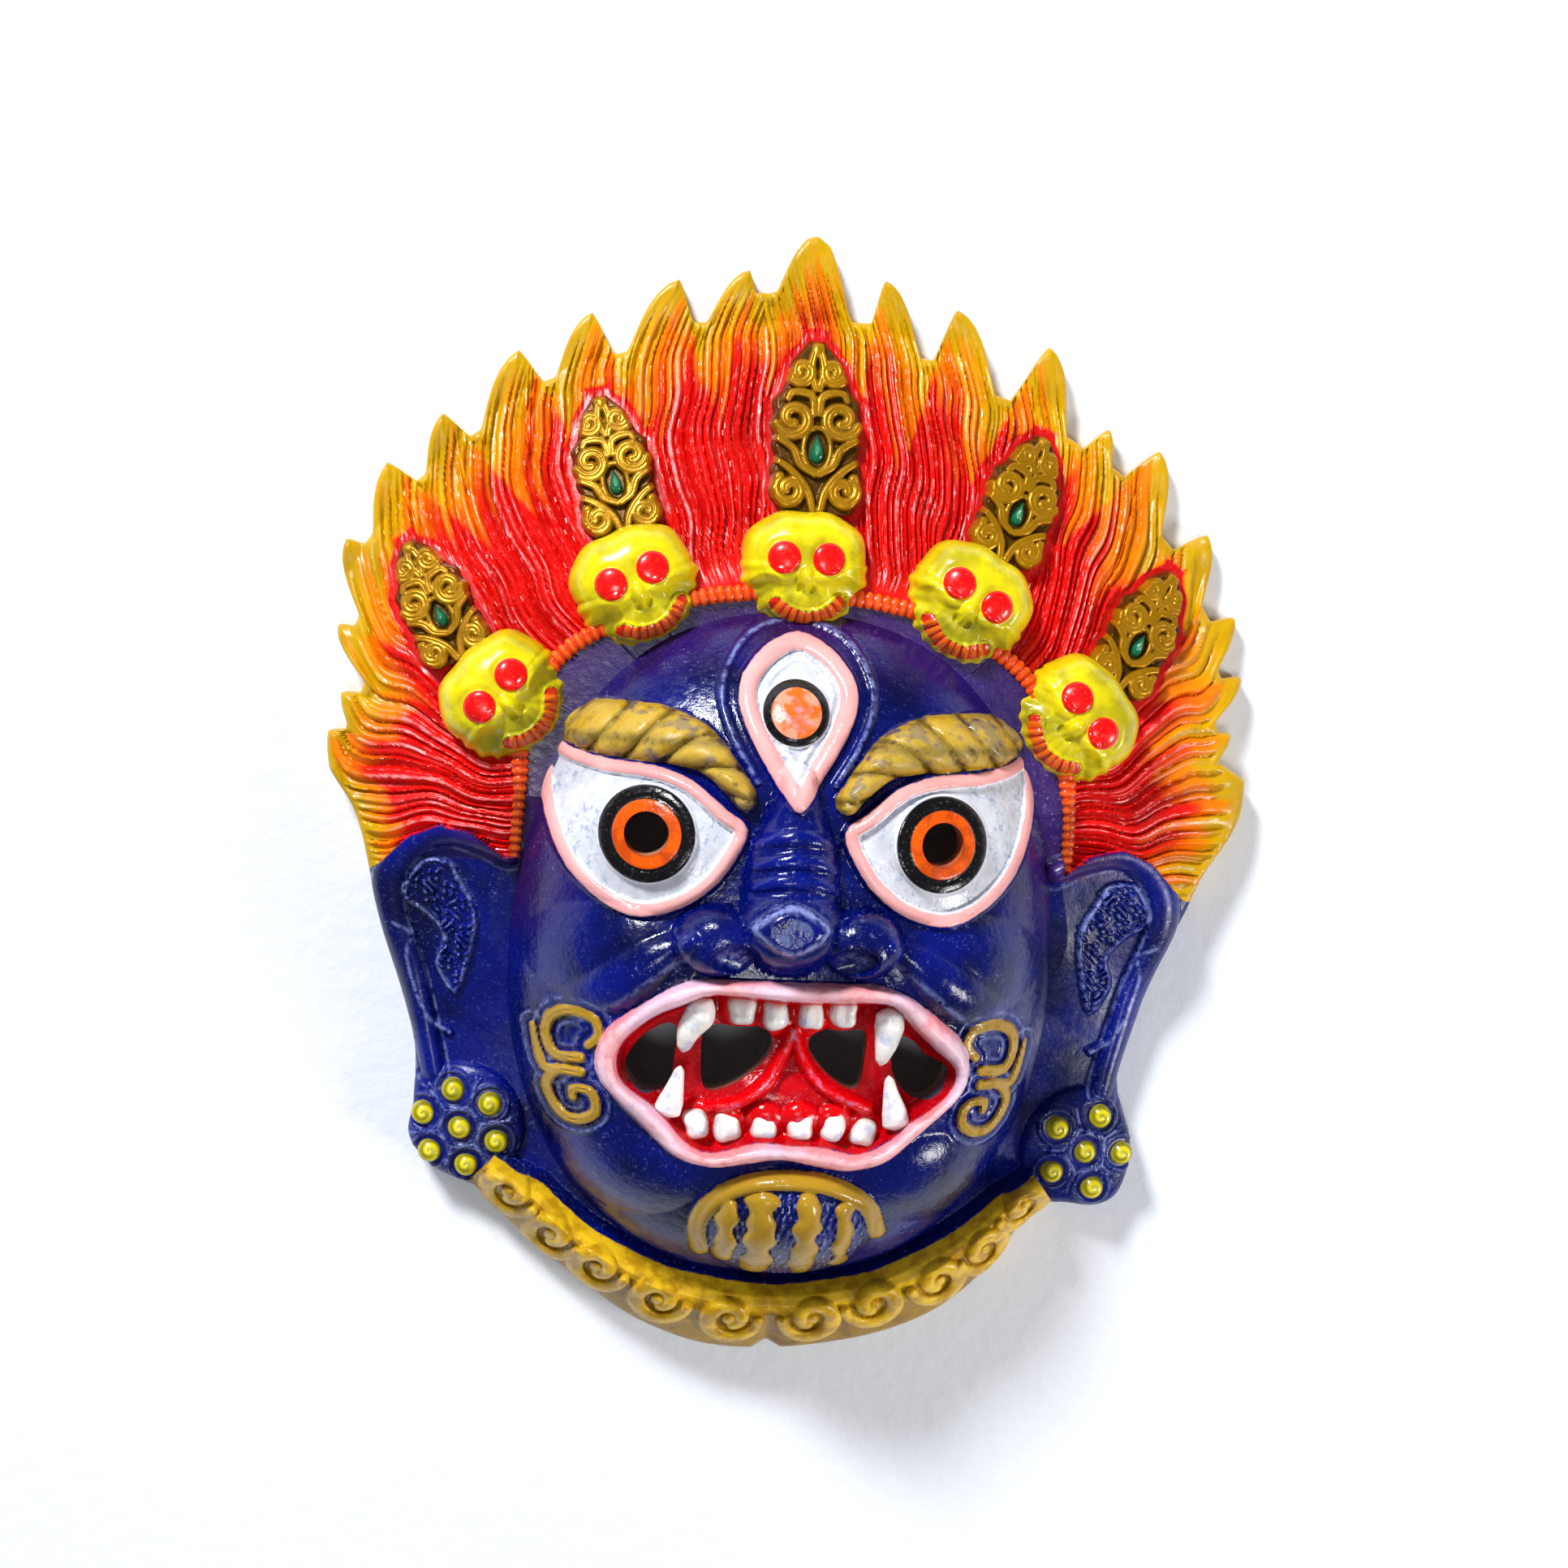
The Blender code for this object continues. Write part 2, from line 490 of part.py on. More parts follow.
def lock_sway(root, r):
    """How far a flame lock strays from its line, in degrees: a slow wave that dies out at the tips."""
    wave = 1.6 * np.sin((r - LOCK_START) / 30.0 * 2 * math.pi + 0.9 * np.sin(np.radians(root * 3.0)))
    return np.degrees(wave * (1 - step(r, 76, 88)) / np.maximum(r, 1.0))


def gathered(low, r):
    """How much narrower than at its root a flame is, where its locks run together at the tip."""
    return 1 - 0.8 * step(r, low - 16.0, low + 14.0)


def flame_height(p):
    """The halo: wavy locks cut into the sloping ground, gathered into each flame's tip."""
    angle, r = polar(p)
    line = root_of(angle, r)
    line = line - lock_sway(line, r)
    tip, low = flame_of(line)
    root = tip + (line - tip) / gathered(low, r)
    phase = root / 180.0 * FLAME_LOCKS
    groove = np.abs((phase % 1.0) - 0.5) * 2
    fade = step(r, 44, 52) * step(angle, -8, 2) * step(188 - angle, 0, 10)
    return plate_height(p) - LOCK_DEPTH * groove**1.5 * fade * (0.5 + 0.5 * gathered(low, r))


def ear_height(p):
    z = plate_height(p)
    relief = np.zeros(len(p))
    for path, widths, height in EAR_RIDGES:
        relief = np.maximum(relief, ridge(p, path, widths, height))
    return z + relief


def ornament_height(p):
    """The ear ornaments: a raised lobe with a dot in the middle and a ring of dots round it."""
    z = plate_height(p)
    relief = np.zeros(len(p))
    for centre, petals, turn in ORNAMENTS:
        relief = np.maximum(relief, boss(p, centre, (11.8, 11.8), 3.4))
        for dot in ornament_dots(centre, petals, turn):
            relief = relief + bump(p, dot, (ORNAMENT_DOT,) * 2, 1.9, power=0.5)
    return z + relief


def ornament_dots(centre, petals, turn):
    return [centre] + list(ellipse(centre, (ORNAMENT_RING,) * 2, petals, turn=turn))


def scroll_centres():
    """The scrolls of the jaw trim, evenly spaced on its outer slope on both sides of the notch."""
    angle = BEARD_NOTCH[0] + (np.arange(TRIM_SCROLLS) - (TRIM_SCROLLS - 1) / 2) * 7.4
    return on_spoke(angle, reach_at(angle) - SCROLL_RADIUS - 2.6)


def trim_share(p):
    """Where a point lies across the jaw trim: 0 at its inner edge and 1 at the outline."""
    angle, r = polar(p)
    angle = np.where(angle < 90, angle + 360, angle)
    inner = np.interp(angle, *np.array(TRIM_INNER).T)
    return (r - inner) / (reach_at(angle) - inner), (angle > 231.0) & (angle < 308.0)


def trim_height(p):
    """The jaw trim: a rounded welt beside the face that falls to the outline under a row of scrolls."""
    share, on = trim_share(p)
    low = EDGE_HEIGHT / UNIT
    z = low + TRIM_HEIGHT * np.interp(share, (-0.2, -0.05, 0.1, 0.22, 0.4, 0.7, 1.0), (0.2, 0.7, 0.95, 1.0, 0.86, 0.42, 0.0))
    relief = np.zeros(len(p))
    for centre in scroll_centres():
        gap = np.hypot(*(p - centre).T)
        ring = np.clip(1 - ((gap - SCROLL_RADIUS * 0.8) / 1.2) ** 2, 0, 1) ** 0.6
        relief = np.maximum(relief, 2.0 * ring)
        relief = np.maximum(relief, bump(p, centre, (1.5, 1.5), 2.0, power=0.5))
    return np.where(on & (share > -0.2), z + relief, -1.0)


def skull_frame(p, centre, lean):
    """A skull's own coordinates, across and up."""
    c, s = math.cos(math.radians(lean)), math.sin(math.radians(lean))
    x, y = (p - centre).T
    return np.stack([x * c + y * s, y * c - x * s], 1)


def skull_share(q):
    """0 at a skull's middle and 1 at its border, which narrows to the jaw."""
    narrow = 1 - 0.24 * step(-q[:, 1], 0.5, SKULL_RADII[1])
    n = 2.5
    return (np.abs(q[:, 0] / (SKULL_RADII[0] * narrow)) ** n + np.abs(q[:, 1] / SKULL_RADII[1]) ** n) ** (1 / n)


def skull_height(p):
    z = np.full(len(p), -1.0)
    for centre, lean in SKULLS:
        ground = plate_height(np.array([centre]))[0]
        q = skull_frame(p, centre, lean)
        share = skull_share(q)
        top = ground - 1.0 + SKULL_HEIGHT * np.clip(1 - share**3, 0, 1) ** 0.5
        top = top - 1.2 * step(-q[:, 1], -0.5, 4.0)
        top = top + bump(q, (0.0, -1.6), (1.7, 2.6), 1.8) + ridge(q, np.array(SKULL_GRIN), (1.2, 1.7, 1.2), 1.8)
        for side in (1, -1):
            gap = np.hypot(q[:, 0] - side * SOCKET[0], q[:, 1] - SOCKET[1]) / SOCKET[2]
            top = top - 1.6 * (1 - step(gap, 0.6, 1.0))
            top = top - bump(q, (side * 6.6, -4.6), (2.6, 2.4), 1.4)
        z = np.where(share < 1, np.maximum(z, top), z)
    return z


def finial_axes(foot, tip):
    foot, tip = np.array(foot), np.array(tip)
    length = np.hypot(*(tip - foot))
    up = (tip - foot) / length
    return foot, up, np.array((up[1], -up[0])), length


def finial_profile(share, half):
    """Half width of a finial from its foot at 0 to its tip at 1: nearly straight sides, then a stepped point."""
    return half * np.interp(share, (0.0, 0.08, 0.2, 0.31, 0.5, 0.64, 0.73, 0.84, 0.92, 1.0),
                            (0.75, 1.0, 1.0, 0.92, 1.0, 0.93, 0.68, 0.6, 0.38, 0.12))


def finial_height(p):
    """The finials: leaves of curls in pairs, with a drop-shaped stone low on the middle line."""
    z = np.full(len(p), -1.0)
    for foot, tip, half in FINIALS:
        base, up, across, length = finial_axes(foot, tip)
        q = np.stack([(p - base) @ across, (p - base) @ up], 1)
        room = finial_profile(q[:, 1] / length, half) - np.abs(q[:, 0])
        on = (q[:, 1] > -0.05 * length) & (q[:, 1] < length) & (room > 0)
        top = plate_height(p) + FINIAL_HEIGHT * step(room, 0.0, 0.8)
        relief = bump(q, (0.0, STONE[0] * length), (STONE[1] * half, STONE[2] * half), 1.8, power=0.5)
        for along, aside, radius in FINIAL_CURLS:
            for sign in (1, -1):
                relief = np.maximum(relief, bump(q, (sign * aside * half, along * length), (radius * half,) * 2, 1.3, power=0.6))
        z = np.where(on, np.maximum(z, top + relief), z)
    return z


def band_arch():
    return np.concatenate([curve(BAND_ARCH, 2), curve(mirrored(BAND_ARCH), 2)[-2::-1]])


def band_height(p):
    bead = ridge(p, band_arch(), (1.5, 1.5), 2.2)
    return np.where(bead > 0, plate_height(p) + bead, -1.0)


def front_height(p):
    """The carved front: the highest of all the forms at each point, rounded down at the outline."""
    z = np.maximum.reduce([
        flame_height(p), face_height(p), ear_height(p) * (p[:, 1] < -8), ornament_height(p) * (p[:, 1] < -50),
        trim_height(p) * (p[:, 1] < -60), skull_height(p), finial_height(p), band_height(p),
    ])
    edge = np.clip(1 - from_edge(p) / (EDGE_ROUND / UNIT), 0, 1)
    return z - 0.3 * EDGE_HEIGHT / UNIT * edge**2


def back_height(p):
    """The hollow back: the plain form without its carving, a wall's thickness below the front, flat at the rim."""
    wall = WALL / UNIT
    land = RIM_LAND / UNIT
    open_share = step(from_edge(p), land, land + 6.0)
    sunk = MOUTH_SINK * step(depth_in(p, MOUTH_LOOP), -3.0, 1.0)
    inner = np.maximum(plate_height(p) - wall - LOCK_DEPTH * 0.7, dome_height(p, shrink=wall * 1.25, sink=wall) - sunk)
    return np.maximum(inner, 0) * open_share


def outline_loop(inset=0.0, slack=0.25):
    return simplified(on_spoke(ANGLES, REACHES - inset), slack)


def hole_loops():
    """The six holes through the wall: both pupils and the four gaps between teeth and tongue."""
    loops = [ellipse((sign * IRIS[0], IRIS[1]), (PUPIL_RADIUS / UNIT,) * 2, 14) for sign in (1, -1)]
    return loops + [curve(hole, 2, closed=True) for hole in MOUTH_HOLES]


class Net:
    """The points and lines of the plan that the surface is stretched over."""

    def __init__(self, loops):
        self.points, self.lines, self.loops = [], [], loops
        for loop in loops:
            self.line(closed_path(loop), keep_all=True)

    def clear(self, p, margin=0.45):
        """Whether points keep away from the outline and the holes."""
        ok = from_edge(p) > 2.2 * margin
        for loop in self.loops[1:]:
            ok &= depth_in(p, loop) < -margin
        return ok

    def line(self, path, keep_all=False, where=None):
        """Adds a path as an edge of the net, apart from stretches that would meet the outline or a hole."""
        path = np.asarray(path, float)
        ok = np.ones(len(path), bool) if keep_all else self.clear(path)
        if where is not None:
            ok &= where(path)
        middle = (path[:-1] + path[1:]) / 2
        joins = np.ones(len(middle), bool) if keep_all else self.clear(middle)
        first = len(self.points)
        shut = np.allclose(path[0], path[-1])
        count = len(path) - 1 if shut else len(path)
        place = {}
        for i in range(count):
            if ok[i]:
                place[i] = len(self.points)
                self.points.append(tuple(path[i]))
        if shut and 0 in place:
            place[count] = place[0]
        self.lines += [(place[i], place[i + 1]) for i in range(len(path) - 1) if i in place and i + 1 in place and joins[i]]
        return first

    def fill(self, pitch, where, gap):
        """Adds points on a triangular grid wherever the net is still empty."""
        low, high = OUTLINE.min(0), OUTLINE.max(0)
        rows = np.arange(low[1], high[1], pitch * 0.866)
        columns = np.arange(low[0], high[0], pitch)
        grid = np.array([(x + (i % 2) * pitch / 2, y) for i, y in enumerate(rows) for x in columns])
        grid = grid[where(grid) & self.clear(grid, 1.0)]
        have = np.array(self.points)
        for start in range(0, len(grid), 400):
            part = grid[start:start + 400]
            room = np.linalg.norm(part[:, None] - have, axis=2).min(1)
            self.points += [tuple(q) for q in part[room > gap]]

    def triangles(self):
        """Plan triangles inside the outline and outside the holes, and the place of each boundary point."""
        verts, _, faces, origins, _, _ = delaunay_2d_cdt([Vector(p) for p in self.points], self.lines, [], 0, 1e-4, True)
        verts = np.array([tuple(v) for v in verts])
        faces = np.array([tuple(f) for f in faces])
        middle = verts[faces].mean(1)
        keep = inside(middle, self.loops[0])
        for loop in self.loops[1:]:
            keep &= ~inside(middle, loop)
        total = sum(len(loop) for loop in self.loops)
        place = {k: i for i, found in enumerate(origins) for k in found if k < total}
        return verts, faces[keep], [place[k] for k in range(total)]


def sides_of(path, widths):
    """The two foot lines of a bead."""
    way = np.gradient(path, axis=0)
    way /= np.maximum(np.hypot(way[:, 0], way[:, 1]), 1e-9)[:, None]
    normal = np.stack([-way[:, 1], way[:, 0]], 1)
    half = np.interp(np.linspace(0, 1, len(path)), np.linspace(0, 1, len(widths)), widths)[:, None]
    return path + normal * half, path - normal * half


def front_net(loops):
    """Lines along every form of the carving, then a grid where the face is plain."""
    net = Net(loops)

    def off_skulls(p, margin=0.4):
        ok = np.ones(len(p), bool)
        for centre, lean in SKULLS:
            ok &= skull_share(skull_frame(p, centre, lean)) > 1 + margin / SKULL_RADII[0]
        return ok

    def off_crown(p):
        ok = (dome_share(p) > 1.0) & off_skulls(p)
        for foot, tip, half in FINIALS:
            base, up, across, length = finial_axes(foot, tip)
            along, wide = (p - base) @ up / length, np.abs((p - base) @ across)
            ok &= ~((along > -0.05) & (along < 1.02) & (wide < finial_profile(along, half) + 0.5))
        return ok

    def off_dome(p):
        return dome_share(p) > 1.0

    net.line(closed_path(outline_loop(EDGE_ROUND / UNIT, 0.4)))
    for share in (1.0, 0.975, 0.93):
        ring = ellipse((0, 0), (1, 1), 52, FACE_SQUARENESS) * share
        tall = np.where(ring[:, 1] > 0, FACE_UP, FACE_DOWN)
        ring = ring * np.stack([np.full(52, FACE_HALF_WIDTH), tall], 1) + FACE_CENTRE
        net.line(closed_path(ring), where=off_skulls)
    for centre, lean in SKULLS:
        c, s = math.cos(math.radians(lean)), math.sin(math.radians(lean))

        def placed(q):
            return np.stack([centre[0] + q[:, 0] * c - q[:, 1] * s, centre[1] + q[:, 0] * s + q[:, 1] * c], 1)
        for share, count in ((1.0, 14), (0.92, 14), (0.7, 9)):
            q = ellipse((0, 0), SKULL_RADII, count, 2.5) * share
            q[:, 0] *= 1 - 0.24 * step(-q[:, 1], 0.5, SKULL_RADII[1])
            net.line(closed_path(placed(q)))
        grin = np.array(SKULL_GRIN)
        for part in (grin, *sides_of(grin, (1.1, 1.5, 1.1))):
            net.line(placed(part))
        net.line(closed_path(placed(ellipse((0.0, -1.6), (1.5, 2.3), 6))))
        for side in (1, -1):
            for share, count in ((1.0, 8), (0.6, 5)):
                net.line(closed_path(placed(ellipse((side * SOCKET[0], SOCKET[1]), (SOCKET[2] * share,) * 2, count))))
    for foot, tip, half in FINIALS:
        base, up, across, length = finial_axes(foot, tip)
        for inset, end in ((0.0, 0.985), (0.8, 0.93)):
            t = np.array((0.0, 0.08, 0.2, 0.31, 0.5, 0.64, 0.73, 0.84, end))
            w = finial_profile(t, half) - inset
            right = base + np.outer(t * length, up) + np.outer(w, across)
            left = base + np.outer(t * length, up) - np.outer(w, across)
            net.line(closed_path(np.concatenate([right, left[::-1]])), where=off_skulls)
        for along, aside, radius in FINIAL_CURLS:
            for sign in (1, -1):
                spot = base + up * along * length + across * sign * aside * half
                net.line(closed_path(ellipse(spot, (radius * half * 0.98,) * 2, 7)), where=off_skulls)
                net.points.append(tuple(spot))
        turn = math.degrees(math.atan2(-up[0], up[1]))
        net.line(closed_path(ellipse(base + up * STONE[0] * length, (STONE[1] * half, STONE[2] * half), 8, turn=turn)))
        net.points.append(tuple(base + up * STONE[0] * length))
    rows = np.linspace(0.0, 1.0, 7)
    for k in range(2 * FLAME_LOCKS + 8):
        root = -6.0 + k * 90.0 / FLAME_LOCKS
        tip, low = flame_of(root)
        start = band_radius(root) + 3.0
        r = start + rows * (reach_at(root + upturn(root, 90.0)) - start - 2.0)
        line = tip + (root - tip) * gathered(low, r)
        line = line + lock_sway(line, r)
        net.line(on_spoke(line + upturn(line, r), r), where=lambda p: off_crown(p) & (from_edge(p) > 1.4)
                 & (p[:, 1] > np.where(np.abs(p[:, 0]) > 60, -9.0, -6.0)))
    for path, widths, _ in FACE_RIDGES:
        for part in (path, *sides_of(path, widths)):
            net.line(part, where=off_skulls)
    for path, widths, _ in MOUTH_RIDGES:
        for part in (path, *sides_of(path, widths)):
            net.line(part)
    for centre in UPPER_TEETH + LOWER_TEETH:
        for share, count in ((1.0, 8), (0.82, 8)):
            net.line(closed_path(ellipse(centre, np.array(TOOTH_HALF) * share, count, 3.0)))
    for sign in (1, -1):
        centre = (sign * IRIS[0], IRIS[1])
        for radius in (IRIS_RADIUS + 0.3, IRIS_RADIUS - 0.3):
            net.line(closed_path(ellipse(centre, (radius,) * 2, 18)))
        for share in (1.0, 0.7):
            net.line(closed_path(ellipse((sign * 11.2 - 1.2, -23.8), (8.0 * share, 5.6 * share), 12)))
        net.line(closed_path(ellipse((sign * 10.4, -26.0), (2.0, 1.4), 6)))
    net.line(closed_path(ellipse(THIRD_IRIS, (THIRD_IRIS_RADIUS,) * 2, 12)))
    net.line(closed_path(ellipse(THIRD_IRIS, (THIRD_IRIS_RADIUS * 0.85,) * 2, 12)))
    for radii, squareness in (((9.6, 7.6), 2.0), ((6.4, 4.2), 1.4), ((4.6, 3.0), 1.4)):
        net.line(closed_path(ellipse((-0.6, -20.3), radii, 12, squareness)))
    for path, widths, _ in EAR_RIDGES + [(band_arch(), (1.5, 1.5), 0)]:
        for part in (path, *sides_of(path, widths)):
            net.line(part, where=lambda p: off_dome(p) & off_skulls(p))
    for centre, petals, turn in ORNAMENTS:
        net.line(closed_path(ellipse(centre, (11.0, 11.0), 18)), where=off_dome)
        for dot in ornament_dots(centre, petals, turn):
            net.line(closed_path(ellipse(dot, (ORNAMENT_DOT,) * 2, 8)), where=off_dome)
            net.points.append(tuple(dot))
    for share in (0.0, 0.22, 0.45):
        angle = np.linspace(232, 307, 19)
        inner = np.interp(angle, *np.array(TRIM_INNER).T)
        net.line(on_spoke(angle, inner + share * (reach_at(angle) - inner)))
    for centre in scroll_centres():
        for radius, count in ((0.8 * SCROLL_RADIUS + 1.2, 11), (0.8 * SCROLL_RADIUS, 11), (1.5, 5)):
            net.line(closed_path(ellipse(centre, (radius,) * 2, count)), where=off_dome)
    net.fill(5.0, lambda p: (dome_share(p) < 0.93) & off_skulls(p), 2.4)
    net.fill(6.6, lambda p: off_dome(p) & (p[:, 1] < -6.0), 3.0)
    return net


def back_net(loops):
    """Lines where the flat rim ends and where the hollow of the face begins, then a plain grid."""
    net = Net(loops)
    for inset, slack in ((RIM_LAND / UNIT, 0.7), (RIM_LAND / UNIT + 6.0, 1.0)):
        net.line(closed_path(outline_loop(inset, slack)))
    shrink = WALL / UNIT * 1.25
    for share in (1.0, 0.97, 0.9, 0.75):
        ring = ellipse((0, 0), (1, 1), 32, FACE_SQUARENESS) * share
        tall = np.where(ring[:, 1] > 0, FACE_UP - shrink, FACE_DOWN - shrink)
        ring = ring * np.stack([np.full(32, FACE_HALF_WIDTH - shrink), tall], 1) + FACE_CENTRE
        net.line(closed_path(ring))
    net.fill(8.0, lambda p: from_edge(p) > RIM_LAND / UNIT + 8.0, 4.0)
    return net


def mask_material():
    material = bpy.data.materials.new("painted_resin")
    material.use_nodes = True
    shader = material.node_tree.nodes["Principled BSDF"]
    shader.inputs["Base Color"].default_value = (0.02, 0.035, 0.2, 1.0)
    shader.inputs["Roughness"].default_value = 0.28
    shader.inputs["Metallic"].default_value = 0.0
    return material


def make_mask():
    """Stretches the front and the back over their nets and joins them by walls at the outline and the holes."""
    loops = [outline_loop()] + hole_loops()
    mesh = bmesh.new()
    edges = []
    for net, height, facing in ((front_net(loops), front_height, 1), (back_net(loops), back_height, -1)):
        plan, faces, rim = net.triangles()
        z = height(plan)
        plan = plan - MIDDLE
        made = [mesh.verts.new((x * UNIT, y * UNIT, h * UNIT)) for (x, y), h in zip(plan, z)]
        for face in faces:
            mesh.faces.new([made[i] for i in face][::facing])
        edges.append([made[i] for i in rim])
    start = 0
    for loop in loops:
        count = len(loop)
        for i in range(count):
            j = (i + 1) % count
            mesh.faces.new((edges[1][start + i], edges[1][start + j], edges[0][start + j], edges[0][start + i]))
        start += count
    bmesh.ops.delete(mesh, geom=[v for v in mesh.verts if not v.link_faces], context="VERTS")
    bmesh.ops.recalc_face_normals(mesh, faces=mesh.faces)
    data = bpy.data.meshes.new("mask")
    mesh.to_mesh(data)
    mesh.free()
    data.shade_smooth()
    data.set_sharp_from_angle(angle=math.radians(50))
    data.materials.append(mask_material())
    mask = bpy.data.objects.new("mask", data)
    bpy.context.scene.collection.objects.link(mask)
    return mask


def main():
    for old in list(bpy.data.objects):
        bpy.data.objects.remove(old, do_unlink=True)
    make_mask()


main()
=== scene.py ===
# %% [markdown]
# # A painted wall mask of a wrathful protector
#
# The mask is one resin casting, hollow behind and painted by hand. A blue face with bulging eyes
# and a fanged mouth sits in a halo of flames, under a crown of five skulls with gilt finials. Long
# ears end in rosettes, and a gold trim runs round the jaw. The solid model gives the frame and the
# size. This lesson builds the carving again as fine surfaces over the same drawing, paints them,
# and sets floor, light and camera.

import math

import bpy
import numpy as np
from mathutils import Matrix, Vector
from mathutils.geometry import delaunay_2d_cdt


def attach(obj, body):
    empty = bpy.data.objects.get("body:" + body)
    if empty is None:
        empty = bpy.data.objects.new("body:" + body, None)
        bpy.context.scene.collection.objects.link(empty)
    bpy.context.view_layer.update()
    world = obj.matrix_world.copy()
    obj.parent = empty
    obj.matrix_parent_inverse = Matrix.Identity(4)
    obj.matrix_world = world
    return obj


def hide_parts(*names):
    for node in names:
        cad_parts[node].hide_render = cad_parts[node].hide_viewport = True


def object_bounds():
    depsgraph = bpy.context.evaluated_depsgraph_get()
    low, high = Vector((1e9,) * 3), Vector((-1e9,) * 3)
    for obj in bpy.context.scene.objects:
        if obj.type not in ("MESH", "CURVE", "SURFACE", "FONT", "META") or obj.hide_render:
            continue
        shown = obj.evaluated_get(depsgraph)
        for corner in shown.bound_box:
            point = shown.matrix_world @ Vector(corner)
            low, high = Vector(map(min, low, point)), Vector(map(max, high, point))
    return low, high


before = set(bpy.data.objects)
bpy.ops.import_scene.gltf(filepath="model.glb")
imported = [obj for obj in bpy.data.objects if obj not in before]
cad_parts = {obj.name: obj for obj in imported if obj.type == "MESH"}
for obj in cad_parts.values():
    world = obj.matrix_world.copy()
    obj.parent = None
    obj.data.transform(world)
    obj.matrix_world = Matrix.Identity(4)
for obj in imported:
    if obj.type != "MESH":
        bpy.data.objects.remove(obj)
cad_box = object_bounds()
print("solid model from", cad_box[0], "to", cad_box[1], "metres")

# %% [markdown]
# ## The drawing
#
# The carver works from a flat drawing, and so does this lesson. All plan points are in drawing
# units, 205 from chin to flame tip, and turn into metres only when a mesh is made. A halo point
# is easiest to say as a direction and a reach from one hub between the eyes. The sizes are those
# of the solid model, so both have the same outline.

# %% Sizes of the drawing
HEIGHT = 0.200
WALL = 0.0040
RIM_LAND = 0.0054
EDGE_HEIGHT = 0.0041
EDGE_ROUND = 0.0014
FACE_DEPTH = 0.0420
BAND_DEPTH = 0.0195
PUPIL_RADIUS = 0.0037
HUB = (0.0, -5.0)
FACE_CENTRE = (0.5, -27.0)
FACE_HALF_WIDTH = 50.0
FACE_UP = 63.5
FACE_DOWN = 62.0
FACE_SQUARENESS = 2.3
FACE_FOOT = 7.0
FLAME_REACH = 90.0
BEARD_NOTCH = (270.8, 1.8, 1.6)
TOP_FLAME = (
    (94.3, 95.2), (92.9, 95.4), (92.2, 98.1), (91.0, 102.5), (89.9, 105.0),
    (88.8, 105.6), (87.4, 103.7), (86.2, 98.7), (85.0, 92.9), (84.3, 90.9),
)
STEEP_SIDE = ((0.05, 0.60), (0.20, 0.04))
TIP_ROUND_DEG = 0.22
# Tip and following notch of each flame, as direction and reach, from one ear over the top to the other
FLAMES = (
    (171.2, 83.6, 170.0, 80.4), (166.2, 82.8, 164.2, 79.2), (158.6, 87.6, 156.8, 84.6),
    (149.6, 93.6, 147.6, 90.2), (140.2, 96.0, 138.4, 89.6), (132.2, 95.4, 130.2, 88.8),
    (121.6, 97.0, 119.6, 89.6), (112.8, 97.6, 110.8, 88.8), (103.0, 99.2, 101.0, 90.8),
    (95.6, 99.4, 94.0, 95.0), (88.8, 105.6, 83.2, 91.0), (81.6, 99.4, 75.6, 87.2),
    (73.4, 97.9, 65.6, 86.2), (62.8, 99.0, 55.6, 87.0), (52.2, 93.2, 49.0, 88.4),
    (46.4, 96.9, 38.8, 87.0), (35.8, 94.5, 28.8, 86.8), (26.0, 91.9, 20.8, 85.0),
    (19.2, 89.3, 14.6, 81.8), (12.8, 84.6, 9.4, 81.0),
)
FLAME_ENDS = ((176.0, 82.4), (6.6, 86.4))
RIGHT_SIDE = (
    (2.4, 85.3), (-0.8, 83.0), (-5.2, 79.1), (-9.7, 77.2), (-20.3, 75.3), (-32.5, 78.3),
    (-37.3, 82.4), (-41.0, 90.0), (-46.0, 95.2), (-48.6, 94.6), (-51.9, 89.6), (-55.1, 88.6),
)
LEFT_SIDE = (
    (235.2, 89.4), (232.0, 88.8), (227.3, 90.7), (222.7, 89.8), (219.5, 84.6), (212.6, 78.3),
    (202.1, 75.7), (189.3, 75.3), (181.4, 77.2),
)
JAW_TRIM = (
    (241.0, 91.2), (248.8, 93.9), (255.4, 97.3), (263.3, 99.8), (270.0, 100.0),
    (277.0, 99.6), (284.0, 99.0), (290.4, 97.4), (297.4, 93.4), (302.4, 89.6),
)


# %% Curves and distances on the drawing
def curve(points, spans=4, closed=False):
    """A Catmull-Rom curve: between b and c it is half of 2b + (c-a)t + (2a-5b+4c-d)t2 + (3b-a-3c+d)t3."""
    p = np.array(points, float)
    ends = (p[-1:], p[:2]) if closed else (2 * p[:1] - p[1:2], 2 * p[-1:] - p[-2:-1])
    q = np.concatenate([ends[0], p, ends[1]])
    t = np.arange(spans)[:, None, None] / spans
    a, b, c, d = q[:-3], q[1:-2], q[2:-1], q[3:]
    made = 2 * b + (c - a) * t + (2 * a - 5 * b + 4 * c - d) * t**2 + (3 * b - a - 3 * c + d) * t**3
    made = 0.5 * made.transpose(1, 0, 2).reshape(-1, 2)
    return made if closed else np.concatenate([made, p[-1:]])


def mirrored(points):
    return tuple((-x, y) for x, y in points)


def both_halves(points):
    """A closed loop from its right half, whose first and last points lie on the middle line."""
    return tuple(points) + mirrored(points[-2:0:-1])


def shut(loop):
    return np.concatenate([loop, loop[:1]])


